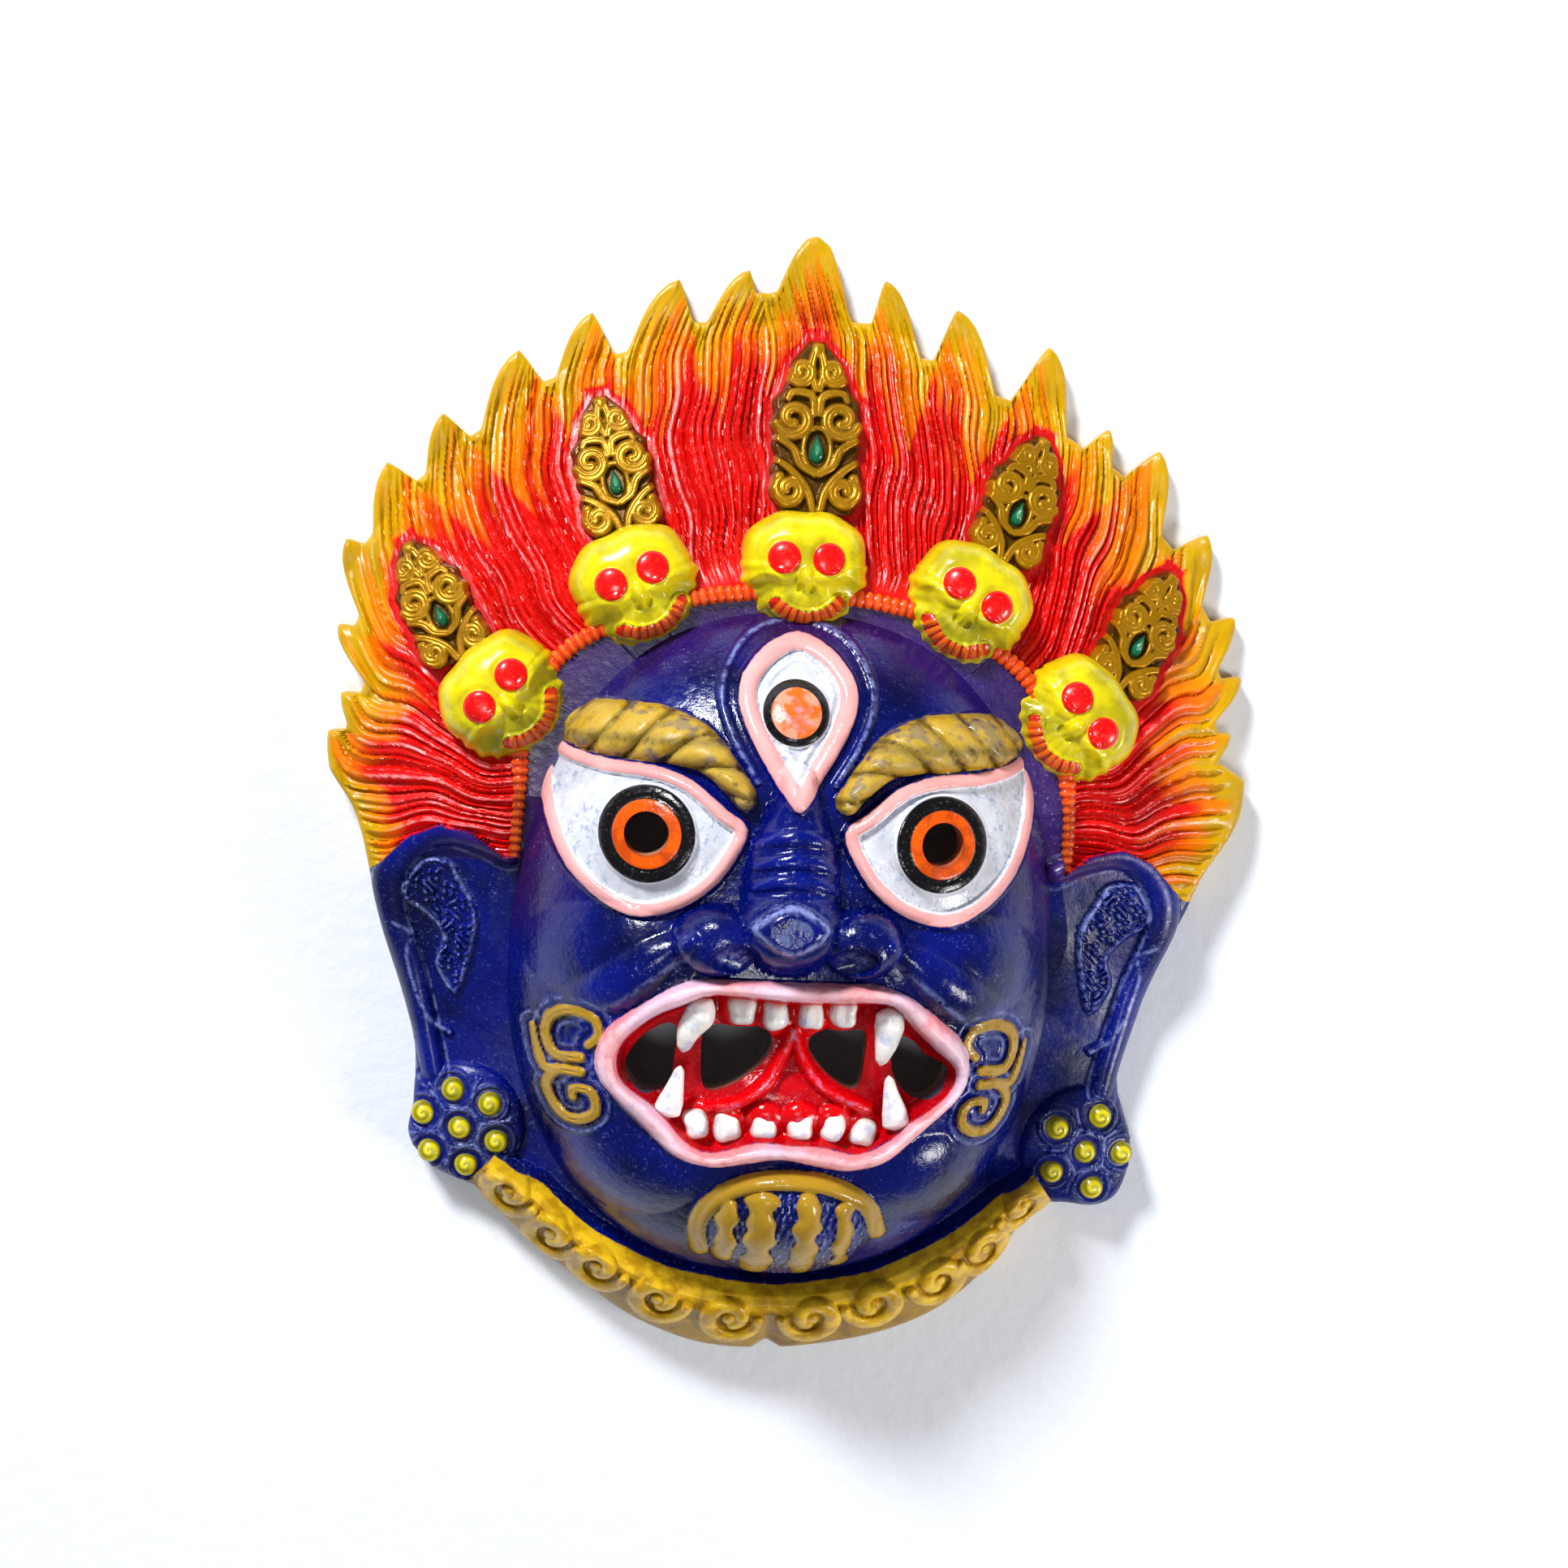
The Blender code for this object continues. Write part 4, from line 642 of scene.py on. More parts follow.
# %% Mesh helpers
def build(name, points, *polygons, guides, sharp=50):
    """A mesh from points in drawing units and arrays with one polygon on each row. Edges steeper
    than sharp, in degrees, stay sharp. It prints how many edges have other than two faces."""
    points = np.asarray(points, float).copy()
    points[:, :2] -= MIDDLE
    points = np.clip(points * UNIT, cad_box[0], cad_box[1])
    corners = np.concatenate([np.asarray(f).ravel() for f in polygons])
    sizes = np.concatenate([np.full(len(f), np.shape(f)[1]) for f in polygons])
    mesh = bpy.data.meshes.new(name)
    mesh.vertices.add(len(points))
    mesh.vertices.foreach_set("co", points.ravel())
    mesh.loops.add(len(corners))
    mesh.loops.foreach_set("vertex_index", corners.astype(np.int32))
    mesh.polygons.add(len(sizes))
    mesh.polygons.foreach_set("loop_start", (np.cumsum(sizes) - sizes).astype(np.int32))
    mesh.update(calc_edges=True)
    for key, values in guides.items():
        stored = mesh.attributes.new(key, "FLOAT", "POINT")
        stored.data.foreach_set("value", values.astype(np.float32))
    mesh.shade_smooth()
    mesh.set_sharp_from_angle(angle=math.radians(sharp))
    piece = bpy.data.objects.new(name, mesh)
    bpy.context.scene.collection.objects.link(piece)
    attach(piece, "root")
    triangles = int((sizes - 2).sum())
    ends = np.sort(np.stack([corners, np.concatenate([
        np.roll(part, -1, 1).ravel() for part in map(np.asarray, polygons)])], 1), 1)
    _, shared = np.unique(ends, axis=0, return_counts=True)
    print(f"{name}: {triangles} triangles, {int((shared != 2).sum())} open edges")
    return piece


def grid_quads(rows, columns, wrap=False):
    """Quads of a net whose corner number is row times columns plus column."""
    across = columns if wrap else columns - 1
    i, j = np.meshgrid(np.arange(rows - 1), np.arange(across), indexing="ij")
    k = (j + 1) % columns
    a, b, c, d = i * columns + j, (i + 1) * columns + j, (i + 1) * columns + k, i * columns + k
    return np.stack([a, b, c, d], -1).reshape(-1, 4)


def cut_net(pitch, region, low, high):
    """Squares where region is positive. Outside corners of border squares move along region's
    slope g by -region/|g|^2 until they lie on its zero line."""
    nx, ny = (np.ceil((np.array(high) - low) / pitch)).astype(int) + 1
    x, y = np.meshgrid(low[0] + np.arange(nx) * pitch, low[1] + np.arange(ny) * pitch)
    p = np.stack([x.ravel(), y.ravel()], 1)
    positive = region(p) > 0
    quads = grid_quads(ny, nx)[:, [0, 3, 2, 1]]
    quads = quads[positive[quads].any(1)]
    move = np.unique(quads)
    move = move[~positive[move]]
    q = p[move]
    for _ in range(3):
        d = region(q)
        gx = (region(q + (0.05, 0)) - region(q - (0.05, 0))) / 0.1
        gy = (region(q + (0, 0.05)) - region(q - (0, 0.05))) / 0.1
        q = q - np.stack([gx, gy], 1) * (d / np.maximum(gx * gx + gy * gy, 0.2))[:, None]
    p[move] = q
    used, quads = np.unique(quads, return_inverse=True)
    return p[used], quads.reshape(-1, 4)


def open_edges(faces):
    """Edges that only one face uses, in that face's direction."""
    ends = np.stack([faces.ravel(), np.roll(faces, -1, 1).ravel()], 1)
    _, place, count = np.unique(np.sort(ends, 1), axis=0, return_index=True, return_counts=True)
    return ends[place[count == 1]]


# %% The face as one closed shell
FACE_PITCH = 0.36
BACK_PITCH = 3.6
BORDER_SHARE = 0.995


def face_region(p):
    """About the distance inside the dome's border and outside every hole."""
    d = (BORDER_SHARE - dome_share(p)) * FACE_HALF_WIDTH
    for hole in HOLES:
        d = np.minimum(d, -depth_in(p, hole, 3.0))
    return d


def make_face():
    """Front net, back of large triangles over the same border, and a wall between the borders."""
    low = np.array(FACE_CENTRE) - (FACE_HALF_WIDTH, FACE_DOWN) - 1.0
    high = np.array(FACE_CENTRE) + (FACE_HALF_WIDTH, FACE_UP) + 1.0
    plan, quads = cut_net(FACE_PITCH, face_region, low, high)
    z, guides = face_fields(plan)
    rim = open_edges(quads)
    border = np.unique(rim)
    place = np.full(len(plan), -1)
    place[border] = np.arange(len(border))
    x, y = np.meshgrid(*(np.arange(low[i], high[i], BACK_PITCH) for i in (0, 1)))
    grid = np.stack([x.ravel(), y.ravel()], 1)
    grid = grid[face_region(grid) > 1.2]
    points = [Vector(q) for q in np.concatenate([plan[border], grid])]
    made, _, faces, origins, _, _ = delaunay_2d_cdt(points, place[rim].tolist(), [], 0, 1e-7, True)
    made = np.array([tuple(v) for v in made])
    faces = np.array([tuple(f) for f in faces])
    faces = faces[face_region(made[faces].mean(1)) > 0]
    now = np.full(len(border), -1)
    for i, found in enumerate(origins):
        for k in found:
            if k < len(border):
                now[k] = i
    print("border corners", len(border), "kept apart", len(np.unique(now)),
          "new", len(made) - len(points))
    behind = np.concatenate([made, back_height(made)[:, None]], 1)
    front = np.concatenate([plan, z[:, None]], 1)
    n = len(front)
    wall = np.stack([rim[:, 1], rim[:, 0], now[place[rim[:, 0]]] + n, now[place[rim[:, 1]]] + n], 1)
    guides = {k: np.concatenate([v, np.full(len(behind), v.min())]) for k, v in guides.items()}
    guides["back"] = np.concatenate([np.zeros(n), np.ones(len(behind))])
    return build("face", np.concatenate([front, behind]), quads, faces[:, ::-1] + n, wall,
                 guides=guides)


face = make_face()
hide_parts("mask")

# %% [markdown]
# ## The ring of flames, ears and jaw trim
#
# Flame locks are parted by grooves that start along the spokes, turn upwards with their flame and
# fade out at its tip. The ears, the rosettes' ground and the trim are beads on the same sloping
# plate, so one height function serves the whole ring. It is cut into four sectors that meet where
# one form ends and the next begins.

# %% Flame locks
LOCK_DEGREES = 1.6
LOCK_DEPTH = 1.5
FLAME_UPTURN = 42.0
LOCK_START = 48.0
HALO_SPAN = (-6.0, 186.0)
TRIM_SPAN = (233.0, 307.0)
FINIAL_MARGIN = (0.9, 1.8)
HELIX = ((49.0, -12.6), (55.0, -10.0), (61.3, -9.0), (67.0, -11.8), (70.6, -18.0), (70.0, -26.0),
         (66.8, -35.0), (63.8, -46.0), (61.8, -54.0))
BOWL = ((55.0, -23.1), (58.0, -17.5), (59.6, -14.9), (64.2, -14.6), (67.2, -18.8), (67.3, -22.0),
        (63.4, -24.4), (60.2, -28.5), (61.6, -33.8), (58.3, -38.9), (56.4, -34.1), (55.0, -27.8))
EAR_LINE = ((69.6, -26.4), (66.5, -28.3), (67.1, -32.6), (65.0, -39.8), (62.3, -44.5),
            (59.1, -46.5))
EAR_AREA = ((88.0, -22.0), (74.5, -17.4), (72.1, -15.4), (67.3, -10.6), (61.3, -7.9), (55.1, -9.3),
            (50.0, -13.0), (0.0, -13.0), (0.0, -112.0), (88.0, -112.0))
# Middle of each ear's rosette, how many dots stand round its middle one, and where the first stands
ORNAMENTS = (((-56.5, -63.6), 6, 41.0), ((58.6, -64.8), 5, 69.0))
ORNAMENT_RING = 7.1
TRIM_INNER = ((232.0, 80.6), (239.0, 79.6), (247.0, 82.6), (258.0, 85.0), (270.7, 86.0),
              (283.0, 85.4), (294.0, 83.0), (302.0, 80.4), (307.0, 80.6))
TRIM_HEIGHT = 10.5
# Foot, tip and half width of each finial
FINIALS = (
    ((-58.6, 21.6), (-69.8, 42.2), 6.9), ((-30.6, 44.8), (-36.4, 69.8), 7.4),
    ((2.8, 49.8), (2.6, 81.8), 8.5), ((36.4, 43.2), (44.8, 66.4), 7.2), ((58.2, 21.2), (70.0, 42.8), 6.9),
)
SCROLLS = ((-47.2, -74.4), (-39.4, -82.5), (-30.8, -88.1), (-19.4, -93.6), (-6.2, -97.0),
           (9.0, -96.6), (20.4, -93.4), (32.2, -89.0), (40.6, -83.3), (47.2, -74.4))


def finial_profile(share, half):
    """Half width from foot to tip: nearly straight sides, then a stepped point."""
    plain = half * np.interp(share, (0.0, 0.08, 0.2, 0.31, 0.5, 0.64, 0.73, 0.84, 0.92, 1.0),
                             (0.75, 1.0, 1.0, 0.92, 1.0, 0.93, 0.68, 0.6, 0.38, 0.12))
    return plain * (1 - 0.05 * np.sin(share * 8 * math.pi) ** 2)


def finial_place(p, foot, tip):
    """A finial's own coordinates, across and up from its foot, and its length."""
    foot, tip = np.array(foot), np.array(tip)
    length = np.hypot(*(tip - foot))
    up = (tip - foot) / length
    return np.stack([(p - foot) @ (up[1], -up[0]), (p - foot) @ up], 1), length


def upturn(root, r):
    """How far a lock that starts on the spoke root has turned upwards at reach r, in degrees. Fire
    rises, so the locks bend towards the top: at once on one side, mostly near their tips on the
    other."""
    ends = step(root - HALO_SPAN[0], 0, 30) * step(HALO_SPAN[1] - root, 0, 30)
    beyond = np.log(np.maximum(r, LOCK_START) / LOCK_START)
    turn = np.where(root > 90, beyond**2, beyond)
    return FLAME_UPTURN * np.tanh(1.3 * np.cos(np.radians(root))) * turn * ends


def root_of(angle, r):
    """The spoke on which the lock through a point starts, by halving."""
    low, high = angle - 24.0, angle + 24.0
    for halving in range(15):
        root = (low + high) / 2
        beyond = root + upturn(root, r) > angle
        low, high = np.where(beyond, low, root), np.where(beyond, root, high)
    return (low + high) / 2


FLAME_NOTCHES = root_of(*np.array(FLAME_ENDS[:1] + tuple(f[2:] for f in FLAMES)).T)
FLAME_TIPS = root_of(*np.array([f[:2] for f in FLAMES]).T)


def lock_fields(root, r):
    """The number of the lock at each point, with the place inside it as the fraction, and how far
    up its flame it is. A lock strays from its line by slow waves, and inside a flame the locks turn
    with its long outer edge and end at its steep side."""
    slow = np.sin(r / 23.0 * 2 * math.pi + 1.5 * np.sin(np.radians(root * 4.0)))
    quick = np.sin(r / 11.0 * 2 * math.pi + 2.2 * np.sin(np.radians(root * 9.0)))
    line = root - np.degrees((0.9 * slow + 0.22 * quick) * (1 - 0.6 * step(r, 74, 92)) / r)
    i = np.clip(np.searchsorted(-FLAME_NOTCHES, -line, side="right") - 1, 0, len(FLAMES) - 1)
    facts = np.array(FLAMES)[i]
    left = facts[:, 0] > 90
    before = np.array(FLAME_ENDS[:1] + tuple(f[2:] for f in FLAMES[:-1]))[i, 1]
    low = np.where(left, before, facts[:, 3]) - 3.0
    outer = np.where(left, FLAME_NOTCHES[i], FLAME_NOTCHES[i + 1])
    rise = np.clip((r - low) / (facts[:, 1] - low), 0, 1)
    own = line + 0.8 * (outer - FLAME_TIPS[i]) * np.arcsin(rise) / (math.pi / 2)
    return own / LOCK_DEGREES + 0.22 * np.sin(own * 1.9) + 0.14 * np.sin(own * 5.1), rise


def finial_margin(p):
    """Distance outside the nearest finial's outline, up to 9."""
    margin = np.full(len(p), 9.0)
    for foot, tip, half in FINIALS:
        q, length = finial_place(p, foot, tip)
        aside = np.abs(q[:, 0]) - finial_profile(np.clip(q[:, 1] / length, 0, 1), half)
        margin = np.minimum(margin, np.maximum(aside, np.maximum(q[:, 1] - length, -2 - q[:, 1])))
    return margin


def flame_fields(p, root):
    """Height and guides of the flames. The grooves fade at the halo's ends, beside the finials and
    up each flame."""
    angle, r = polar(p)
    from_edge = reach_at(angle) - r
    phase, rise = lock_fields(root, r)
    groove = wave(phase)
    fade = step(r, 44, 50) * step(angle, -12, -4) * step(192 - angle, 0, 8)
    fade = fade * step(from_edge, 0.3, 2.6)
    margin = finial_margin(p)
    clear = step(margin, *FINIAL_MARGIN)
    fade = fade * clear * (1 - 0.92 * step(rise, 0.35, 0.88))
    level = np.where(margin < 2.0, 0.85, 0.5)
    reach = np.interp(angle, (-90, 0, 25, 50, 150, 175, 200), (0.6, 0.75, 1.0, 1.0, 0.9, 0.45, 0.4))
    guides = {"groove": groove * fade + level * (1 - fade), "rise": rise,
              "edge": from_edge / reach + 20 * (1 - step(margin, 0.7, 1.9)),
              "streak": 0.5 + 0.5 * np.sin((np.floor(phase) + 0.5) * 2.4) * (1 - groove**4)}
    flames = plate_height(p) - LOCK_DEPTH * groove**1.3 * fade * (1 - 0.4 * step(rise, 0.1, 0.6))
    return flames - 0.4 * LOCK_DEPTH * (1 - clear), guides


# %% Ears, rosettes and jaw trim
def carve_ear(c, sign):
    """The ear's rolled border, its bowl of small bumps and a thin line below it."""
    helix = curve(on_side(HELIX, sign), 4)
    c.over(ridge(c.p, helix, (2.0, 3.4, 3.2, 2.4), 2.8))
    gap, _ = nearest(c.p, helix)
    c.mark("pale", tent(gap - 3.0, 0.4) * 0.6)
    bowl = depth_in(c.p, curve(on_side(BOWL, sign), 3, closed=True))
    x, y = c.p.T
    knobs = np.sin(x * 2.6 + 2.2 * np.sin(y * 1.3)) * np.sin(y * 2.3 + 2.0 * np.sin(x * 1.1))
    c.over((0.7 + 1.1 * np.clip(knobs, 0, 1)) * step(bowl, -0.5, 0.7))
    c.relief = c.relief + 0.7 * rounded(bowl, 0.6)
    c.mark("pale", tent(bowl, 0.6) * 0.8)
    # The pale tops of the bowl's bumps are painted glints.
    c.mark("pale", np.clip(knobs - 0.45, 0, 0.5) * 1.2 * step(bowl, 0.2, 1.0))
    line = curve(on_side(EAR_LINE, sign), 4)
    c.over(ridge(c.p, line, (0.9, 1.1, 0.9), 1.2))
    gap, _ = nearest(c.p, line)
    c.mark("pale", tent(gap, 0.5) * 0.8)


def carve_rosette(c, centre, petals, turn):
    """A disc with a ring round each dot and thin walls half way between dots. Gives the disc."""
    disc = boss(c.p, centre, (11.8, 11.8), 3.2)
    c.over(disc)
    spots = np.array([centre] + list(ellipse(centre, (ORNAMENT_RING,) * 2, petals, turn=turn)))
    away = np.sort(np.hypot(c.p[:, :1] - spots[:, 0], c.p[:, 1:] - spots[:, 1]), 1)
    comb = np.where(away[:, 0] < 4.8, tent(away[:, 1] - away[:, 0], 0.9), 0)
    rim = tent(away[:, 0] - 3.3, 0.45)
    near = np.hypot(*(c.p - centre).T) < 11.0
    c.relief = c.relief + 0.7 * np.maximum(comb, rim) * near
    c.mark("pale", np.maximum(comb, rim * 0.35) * near * 0.8)
    return disc


def trim_fields(p):
    """The trim's plain height, its scrolls, the share of its width from the inner line, and where
    it is."""
    angle, r = polar(p)
    a = np.where(angle < 90, angle + 360, angle)
    inner = np.interp(a, *np.array(TRIM_INNER).T)
    share = (r - inner) / (reach_at(angle) - inner)
    height = EDGE_HEIGHT / UNIT + TRIM_HEIGHT * np.interp(
        share, (-0.2, -0.05, 0.1, 0.22, 0.4, 0.7, 1.0), (0.2, 0.7, 0.95, 1.0, 0.86, 0.42, 0.0))
    cords = np.zeros(len(p))
    for x, y in SCROLLS:
        sense = 1 if x < 1 else -1
        way = math.degrees(math.atan2(y - HUB[1], x - HUB[0]))
        path = spiral((x, y), 5.5, 1.15, way + 90 * sense, -sense, 0.3)
        cords = np.maximum(cords, ridge(p, path, (1.2, 1.9, 1.4), 1.9))
        cords = np.maximum(cords, bump(p, (x, y), (1.4, 1.4), 1.6, power=0.5))
    return height, cords, share, (a > 231.5) & (a < 307.5) & (share > -0.2)


def ring_fields(p, root):
    """Height and painting guides of the ring round the face."""
    flames, guides = flame_fields(p, root)
    plate = plate_height(p)
    c = Carving(p, np.zeros(len(p)), pale=0.0)
    blue = depth_in(p, ARCH) - 0.6
    for sign in (1, -1):
        blue = np.maximum(blue, depth_in(p, np.array(on_side(EAR_AREA, sign))))
        carve_ear(c, sign)
    ground = np.maximum(*[carve_rosette(c, *facts) for facts in ORNAMENTS])
    ears = np.where((blue > 0) & (p[:, 1] < 0), plate + c.relief, np.where(blue > 0, plate, 0))
    height, cords, share, on_trim = trim_fields(p)
    trim = np.where(on_trim, np.minimum((share + 0.03) * 12, 3.0), -3.0)
    welt = 1.6 * (1 - step(share, 0.24, 0.36))
    purple = np.where(p[:, 1] > -14, nearest(p, ARCH, PURPLE_REACH)[0], PURPLE_REACH)
    guides.update(trim=trim, blue=blue, purple=purple, pale=c.guides["pale"],
                  relief=np.where(trim > 0, cords + welt, c.relief - ground))
    z = np.maximum.reduce([flames, ears, np.where(on_trim, height + cords, -1.0)])
    return z, guides


# %% Closed sectors of the ring
def sector_columns(start, end, columns):
    """Each column's spoke, its reach at the outline, the outline's slope there and its reach at
    the face. In the halo the columns turn upwards with the locks, and stand closer where the
    outline is steep."""
    fine = np.linspace(start, end, 4000)
    far = np.linspace(60, 110, 501)[:, None]
    outside = far > reach_at(fine + upturn(fine, far))
    border = far[outside.argmax(0), 0]
    steps = np.hypot(np.diff(border), np.radians(np.diff(fine)) * FLAME_REACH)
    crowding = np.concatenate([[0], np.cumsum(0.75 / len(fine) + 0.25 * steps / steps.sum())])
    root = np.interp(np.linspace(0, crowding[-1], columns), crowding, fine)
    outer = reach_at(root)
    for settling in range(60):
        outer = 0.7 * outer + 0.3 * reach_at(root + upturn(root, outer))
    settled = np.abs(reach_at(root + upturn(root, outer)) - outer) < 0.3
    outer = np.where(settled, outer, np.interp(root, fine, border) - 0.05)
    slope = np.gradient(outer, np.radians(root + upturn(root, outer))) / outer
    probe = np.linspace(30, 95, 400)
    share = dome_share(on_spoke(root[:, None], probe).reshape(-1, 2)).reshape(columns, -1)
    keep = 0.905 + 0.04 * step(np.abs(root - 90), 110, 130)
    first = probe[(share < keep[:, None]).sum(1).clip(0, len(probe) - 1)]
    return root, outer, slope, first


def ring_sector(name, start, end, columns, rows):
    """A sector from direction start to end. Each column is a closed loop: out over the front,
    rounded down the edge, back under the rim and up into the hollow."""
    root, outer, slope, first = sector_columns(start, end, columns)
    t = np.linspace(0, 1, rows)
    t = 1 - (1 - t) ** 1.25
    root = root[:, None]
    r = first[:, None] + t * (outer - first)[:, None]
    plan = on_spoke(root + upturn(root, r), r).reshape(-1, 2)
    z, guides = ring_fields(plan, (root + 0 * r).ravel())
    true_gap = ((outer[:, None] - r) / np.sqrt(1 + slope[:, None] ** 2)).ravel()
    near = np.clip(1 - true_gap / (EDGE_ROUND / UNIT), 0, 1)
    z = z - 1.1 * (1 - np.sqrt(1 - near**2))
    side_z = np.array((0.72, 0.4, 0.1, 0.0))
    edge = z.reshape(columns, rows)[:, -1]
    side_r = outer[:, None] - np.array((0.0, 0.0, 0.05, 0.4))
    side = on_spoke(root + upturn(root, side_r), side_r).reshape(-1, 2)
    side_height = (edge[:, None] * side_z).ravel()
    inward = outer[:, None] - np.array((2.4, 5.4, 7.0, 9.0, 11.6))
    rest = inward[:, -1:] + (first[:, None] + 0.4 - inward[:, -1:]) * np.linspace(0, 1, 9)[1:]
    back_r = np.concatenate([inward, rest], 1)
    back = on_spoke(root + upturn(root, back_r), back_r).reshape(-1, 2)
    blocks = [(plan, z, rows), (side, side_height, len(side_z)),
              (back, back_height(back), back_r.shape[1])]
    points = np.concatenate([np.concatenate([q, h[:, None]], 1).reshape(columns, k, 3)
                             for q, h, k in blocks], 1)
    count = points.shape[1]
    behind = np.zeros((columns, count))
    behind[:, rows + len(side_z):] = 1.0
    wide = {}
    for key, values in guides.items():
        values = values.reshape(columns, rows)
        tail = np.repeat(values[:, -1:], count - rows, 1)
        wide[key] = np.concatenate([values, tail], 1).ravel()
    wide["back"] = behind.ravel()
    quads = grid_quads(columns, count, wrap=True)
    corner = np.arange(count)
    caps = np.stack([corner[::-1], corner + (columns - 1) * count])
    return build(name, points.reshape(-1, 3), quads[:, ::-1], caps[:, ::-1], guides=wide)


halo = ring_sector("flame_halo", *HALO_SPAN, 1081, 68)
left_ear = ring_sector("left_ear", HALO_SPAN[1], TRIM_SPAN[0], 280, 110)
jaw_trim = ring_sector("jaw_trim", *TRIM_SPAN, 470, 100)
right_ear = ring_sector("right_ear", TRIM_SPAN[1], HALO_SPAN[0] + 360, 280, 110)

# %% [markdown]
# ## Separate forms on the casting
#
# Skulls, finials, teeth and ear dots stand up from the ground with steep sides that a height
# over the whole plan would smear. Each gets a net of its own: a closed slab with a carved top,
# plain walls and a flat foot that sinks into the ground.


# %% Slabs and tubes
def slab(name, plan, top, foot, guides, wrap=False, sharp=60):
    """A carved top over a net of plan points, with upright sides down to a flat foot. With wrap the
    net is rings round a middle, which a fan closes."""
    rows, columns = plan.shape[:2]
    surface = np.concatenate([plan, top[..., None]], 2).reshape(-1, 3)
    quads = grid_quads(rows, columns, wrap)
    if wrap:
        loop = np.arange(columns) + (rows - 1) * columns
        centre = surface[:columns].mean(0, keepdims=True)
    else:
        i = np.arange(rows * columns).reshape(rows, columns)
        loop = np.concatenate([i[0, :-1], i[:-1, -1], i[-1, :0:-1], i[:0:-1, 0]])
        centre = np.zeros((0, 3))
    base = surface[loop].copy()
    base[:, 2] = foot
    n = len(surface)
    low = n + np.arange(len(loop))
    after = np.roll(np.arange(len(loop)), -1)
    facing = np.cross(surface[quads[:, 1]] - surface[quads[:, 0]],
                      surface[quads[:, 2]] - surface[quads[:, 0]])[:, 2].sum() > 0
    flip = 1 if facing else -1
    corners = [quads[:, ::flip]]
    ring = np.stack([loop, low, low[after], loop[after]], 1)
    bottom = low[None, :]
    x, y = surface[loop, :2].T
    anticlockwise = (x * y[after] - x[after] * y).sum() > 0
    corners.append(ring if anticlockwise else ring[:, ::-1])
    corners.append(bottom[:, ::-1] if anticlockwise else bottom)
    if wrap:
        hub = n + len(loop)
        column = np.arange(columns)
        fan = np.stack([np.full(columns, hub), column, (column + 1) % columns], 1)
        corners.append(fan if anticlockwise else fan[:, ::-1])
    points = np.concatenate([surface, base, centre])
    full = {}
    for key, values in guides.items():
        values = values.reshape(-1)
        full[key] = np.concatenate([values, values[loop], values[:len(centre)]])
    return build(name, points, *corners, guides=full, sharp=sharp)


def disc(border, rings, first=0.04, power=1.0):
    """Rings of plan points that shrink a border to its middle: middle + share (border - middle)."""
    middle = border.mean(0)
    share = first + (1 - first) * np.linspace(0, 1, rings) ** power
    return middle + share[:, None, None] * (border - middle)


# %% Teeth and fangs
def tooth(name, centre, half, lean, seed):
    """A rounded block: top at full height, falling by (1 - share^4)^0.35, with an uneven face."""
    border = ellipse((0, 0), half, 56, 3.4)
    a = np.arctan2(border[:, 1], border[:, 0])
    border = border * (1 + 0.05 * np.sin(3 * a + seed) + 0.03 * np.sin(5 * a + 2 * seed))[:, None]
    c, s = math.cos(math.radians(lean)), math.sin(math.radians(lean))
    border = border @ np.array(((c, s), (-s, c))) + centre
    plan = disc(border, 22, power=0.75)
    share = np.broadcast_to(np.linspace(0.04, 1, 22)[:, None] ** 0.75, plan.shape[:2])
    ground = dome_height(np.array([centre]))[0] - MOUTH_SINK
    q = plan - centre
    top = ground + 5.0 * np.clip(1 - share**4, 0, 1) ** 0.35
    upper = np.sign(centre[1] + 46)
    top = top + 0.3 * np.sin(q[..., 0] * 1.3 + seed) * (1 - share**2) - 0.06 * q[..., 1] * upper
    return slab(name, plan, top, ground - 2.5, {"share": share}, wrap=True, sharp=80)


def tube(name, path, across, rise, sides, guides):
    """An ellipse of half width across and half height rise carried along a path in the plan."""
    path, across, rise = map(np.asarray, (path, across, rise))
    way = np.gradient(path[:, :2], axis=0)
    way /= np.maximum(np.hypot(*way.T), 1e-9)[:, None]
    normal = np.stack([-way[:, 1], way[:, 0]], 1)
    a = np.arange(sides) * 2 * math.pi / sides
    plan = path[:, None, :2] + normal[:, None] * (across[:, None] * np.cos(a))[..., None]
    z = path[:, 2:3] + rise[:, None] * np.sin(a)
    points = np.concatenate([plan, z[..., None]], 2).reshape(-1, 3)
    rows = len(path)
    caps = np.stack([np.arange(sides), np.arange(sides)[::-1] + (rows - 1) * sides])
    full = {k: np.repeat(v, sides) for k, v in guides.items()}
    return build(name, points, grid_quads(rows, sides, wrap=True), caps, guides=full, sharp=70)


def fang(name, points, widths):
    """A curved tusk: a tube whose half width follows the given widths, thick at the root."""
    path = evenly(curve(points, 8), 34)
    t = np.linspace(0, 1, 34)
    half = np.interp(t, np.linspace(0, 1, len(widths)), widths) * np.sqrt(np.clip(t * 9, 0.05, 1))
    half = half * np.sqrt(np.clip((1 - t) * 12, 0.04, 1))
    ground = dome_height(path) - MOUTH_SINK + FANG_HEIGHT
    return tube(name, np.concatenate([path, ground[:, None]], 1), half, half * 0.95, 24, {"share": t})


FANG_HEIGHT = 4.2
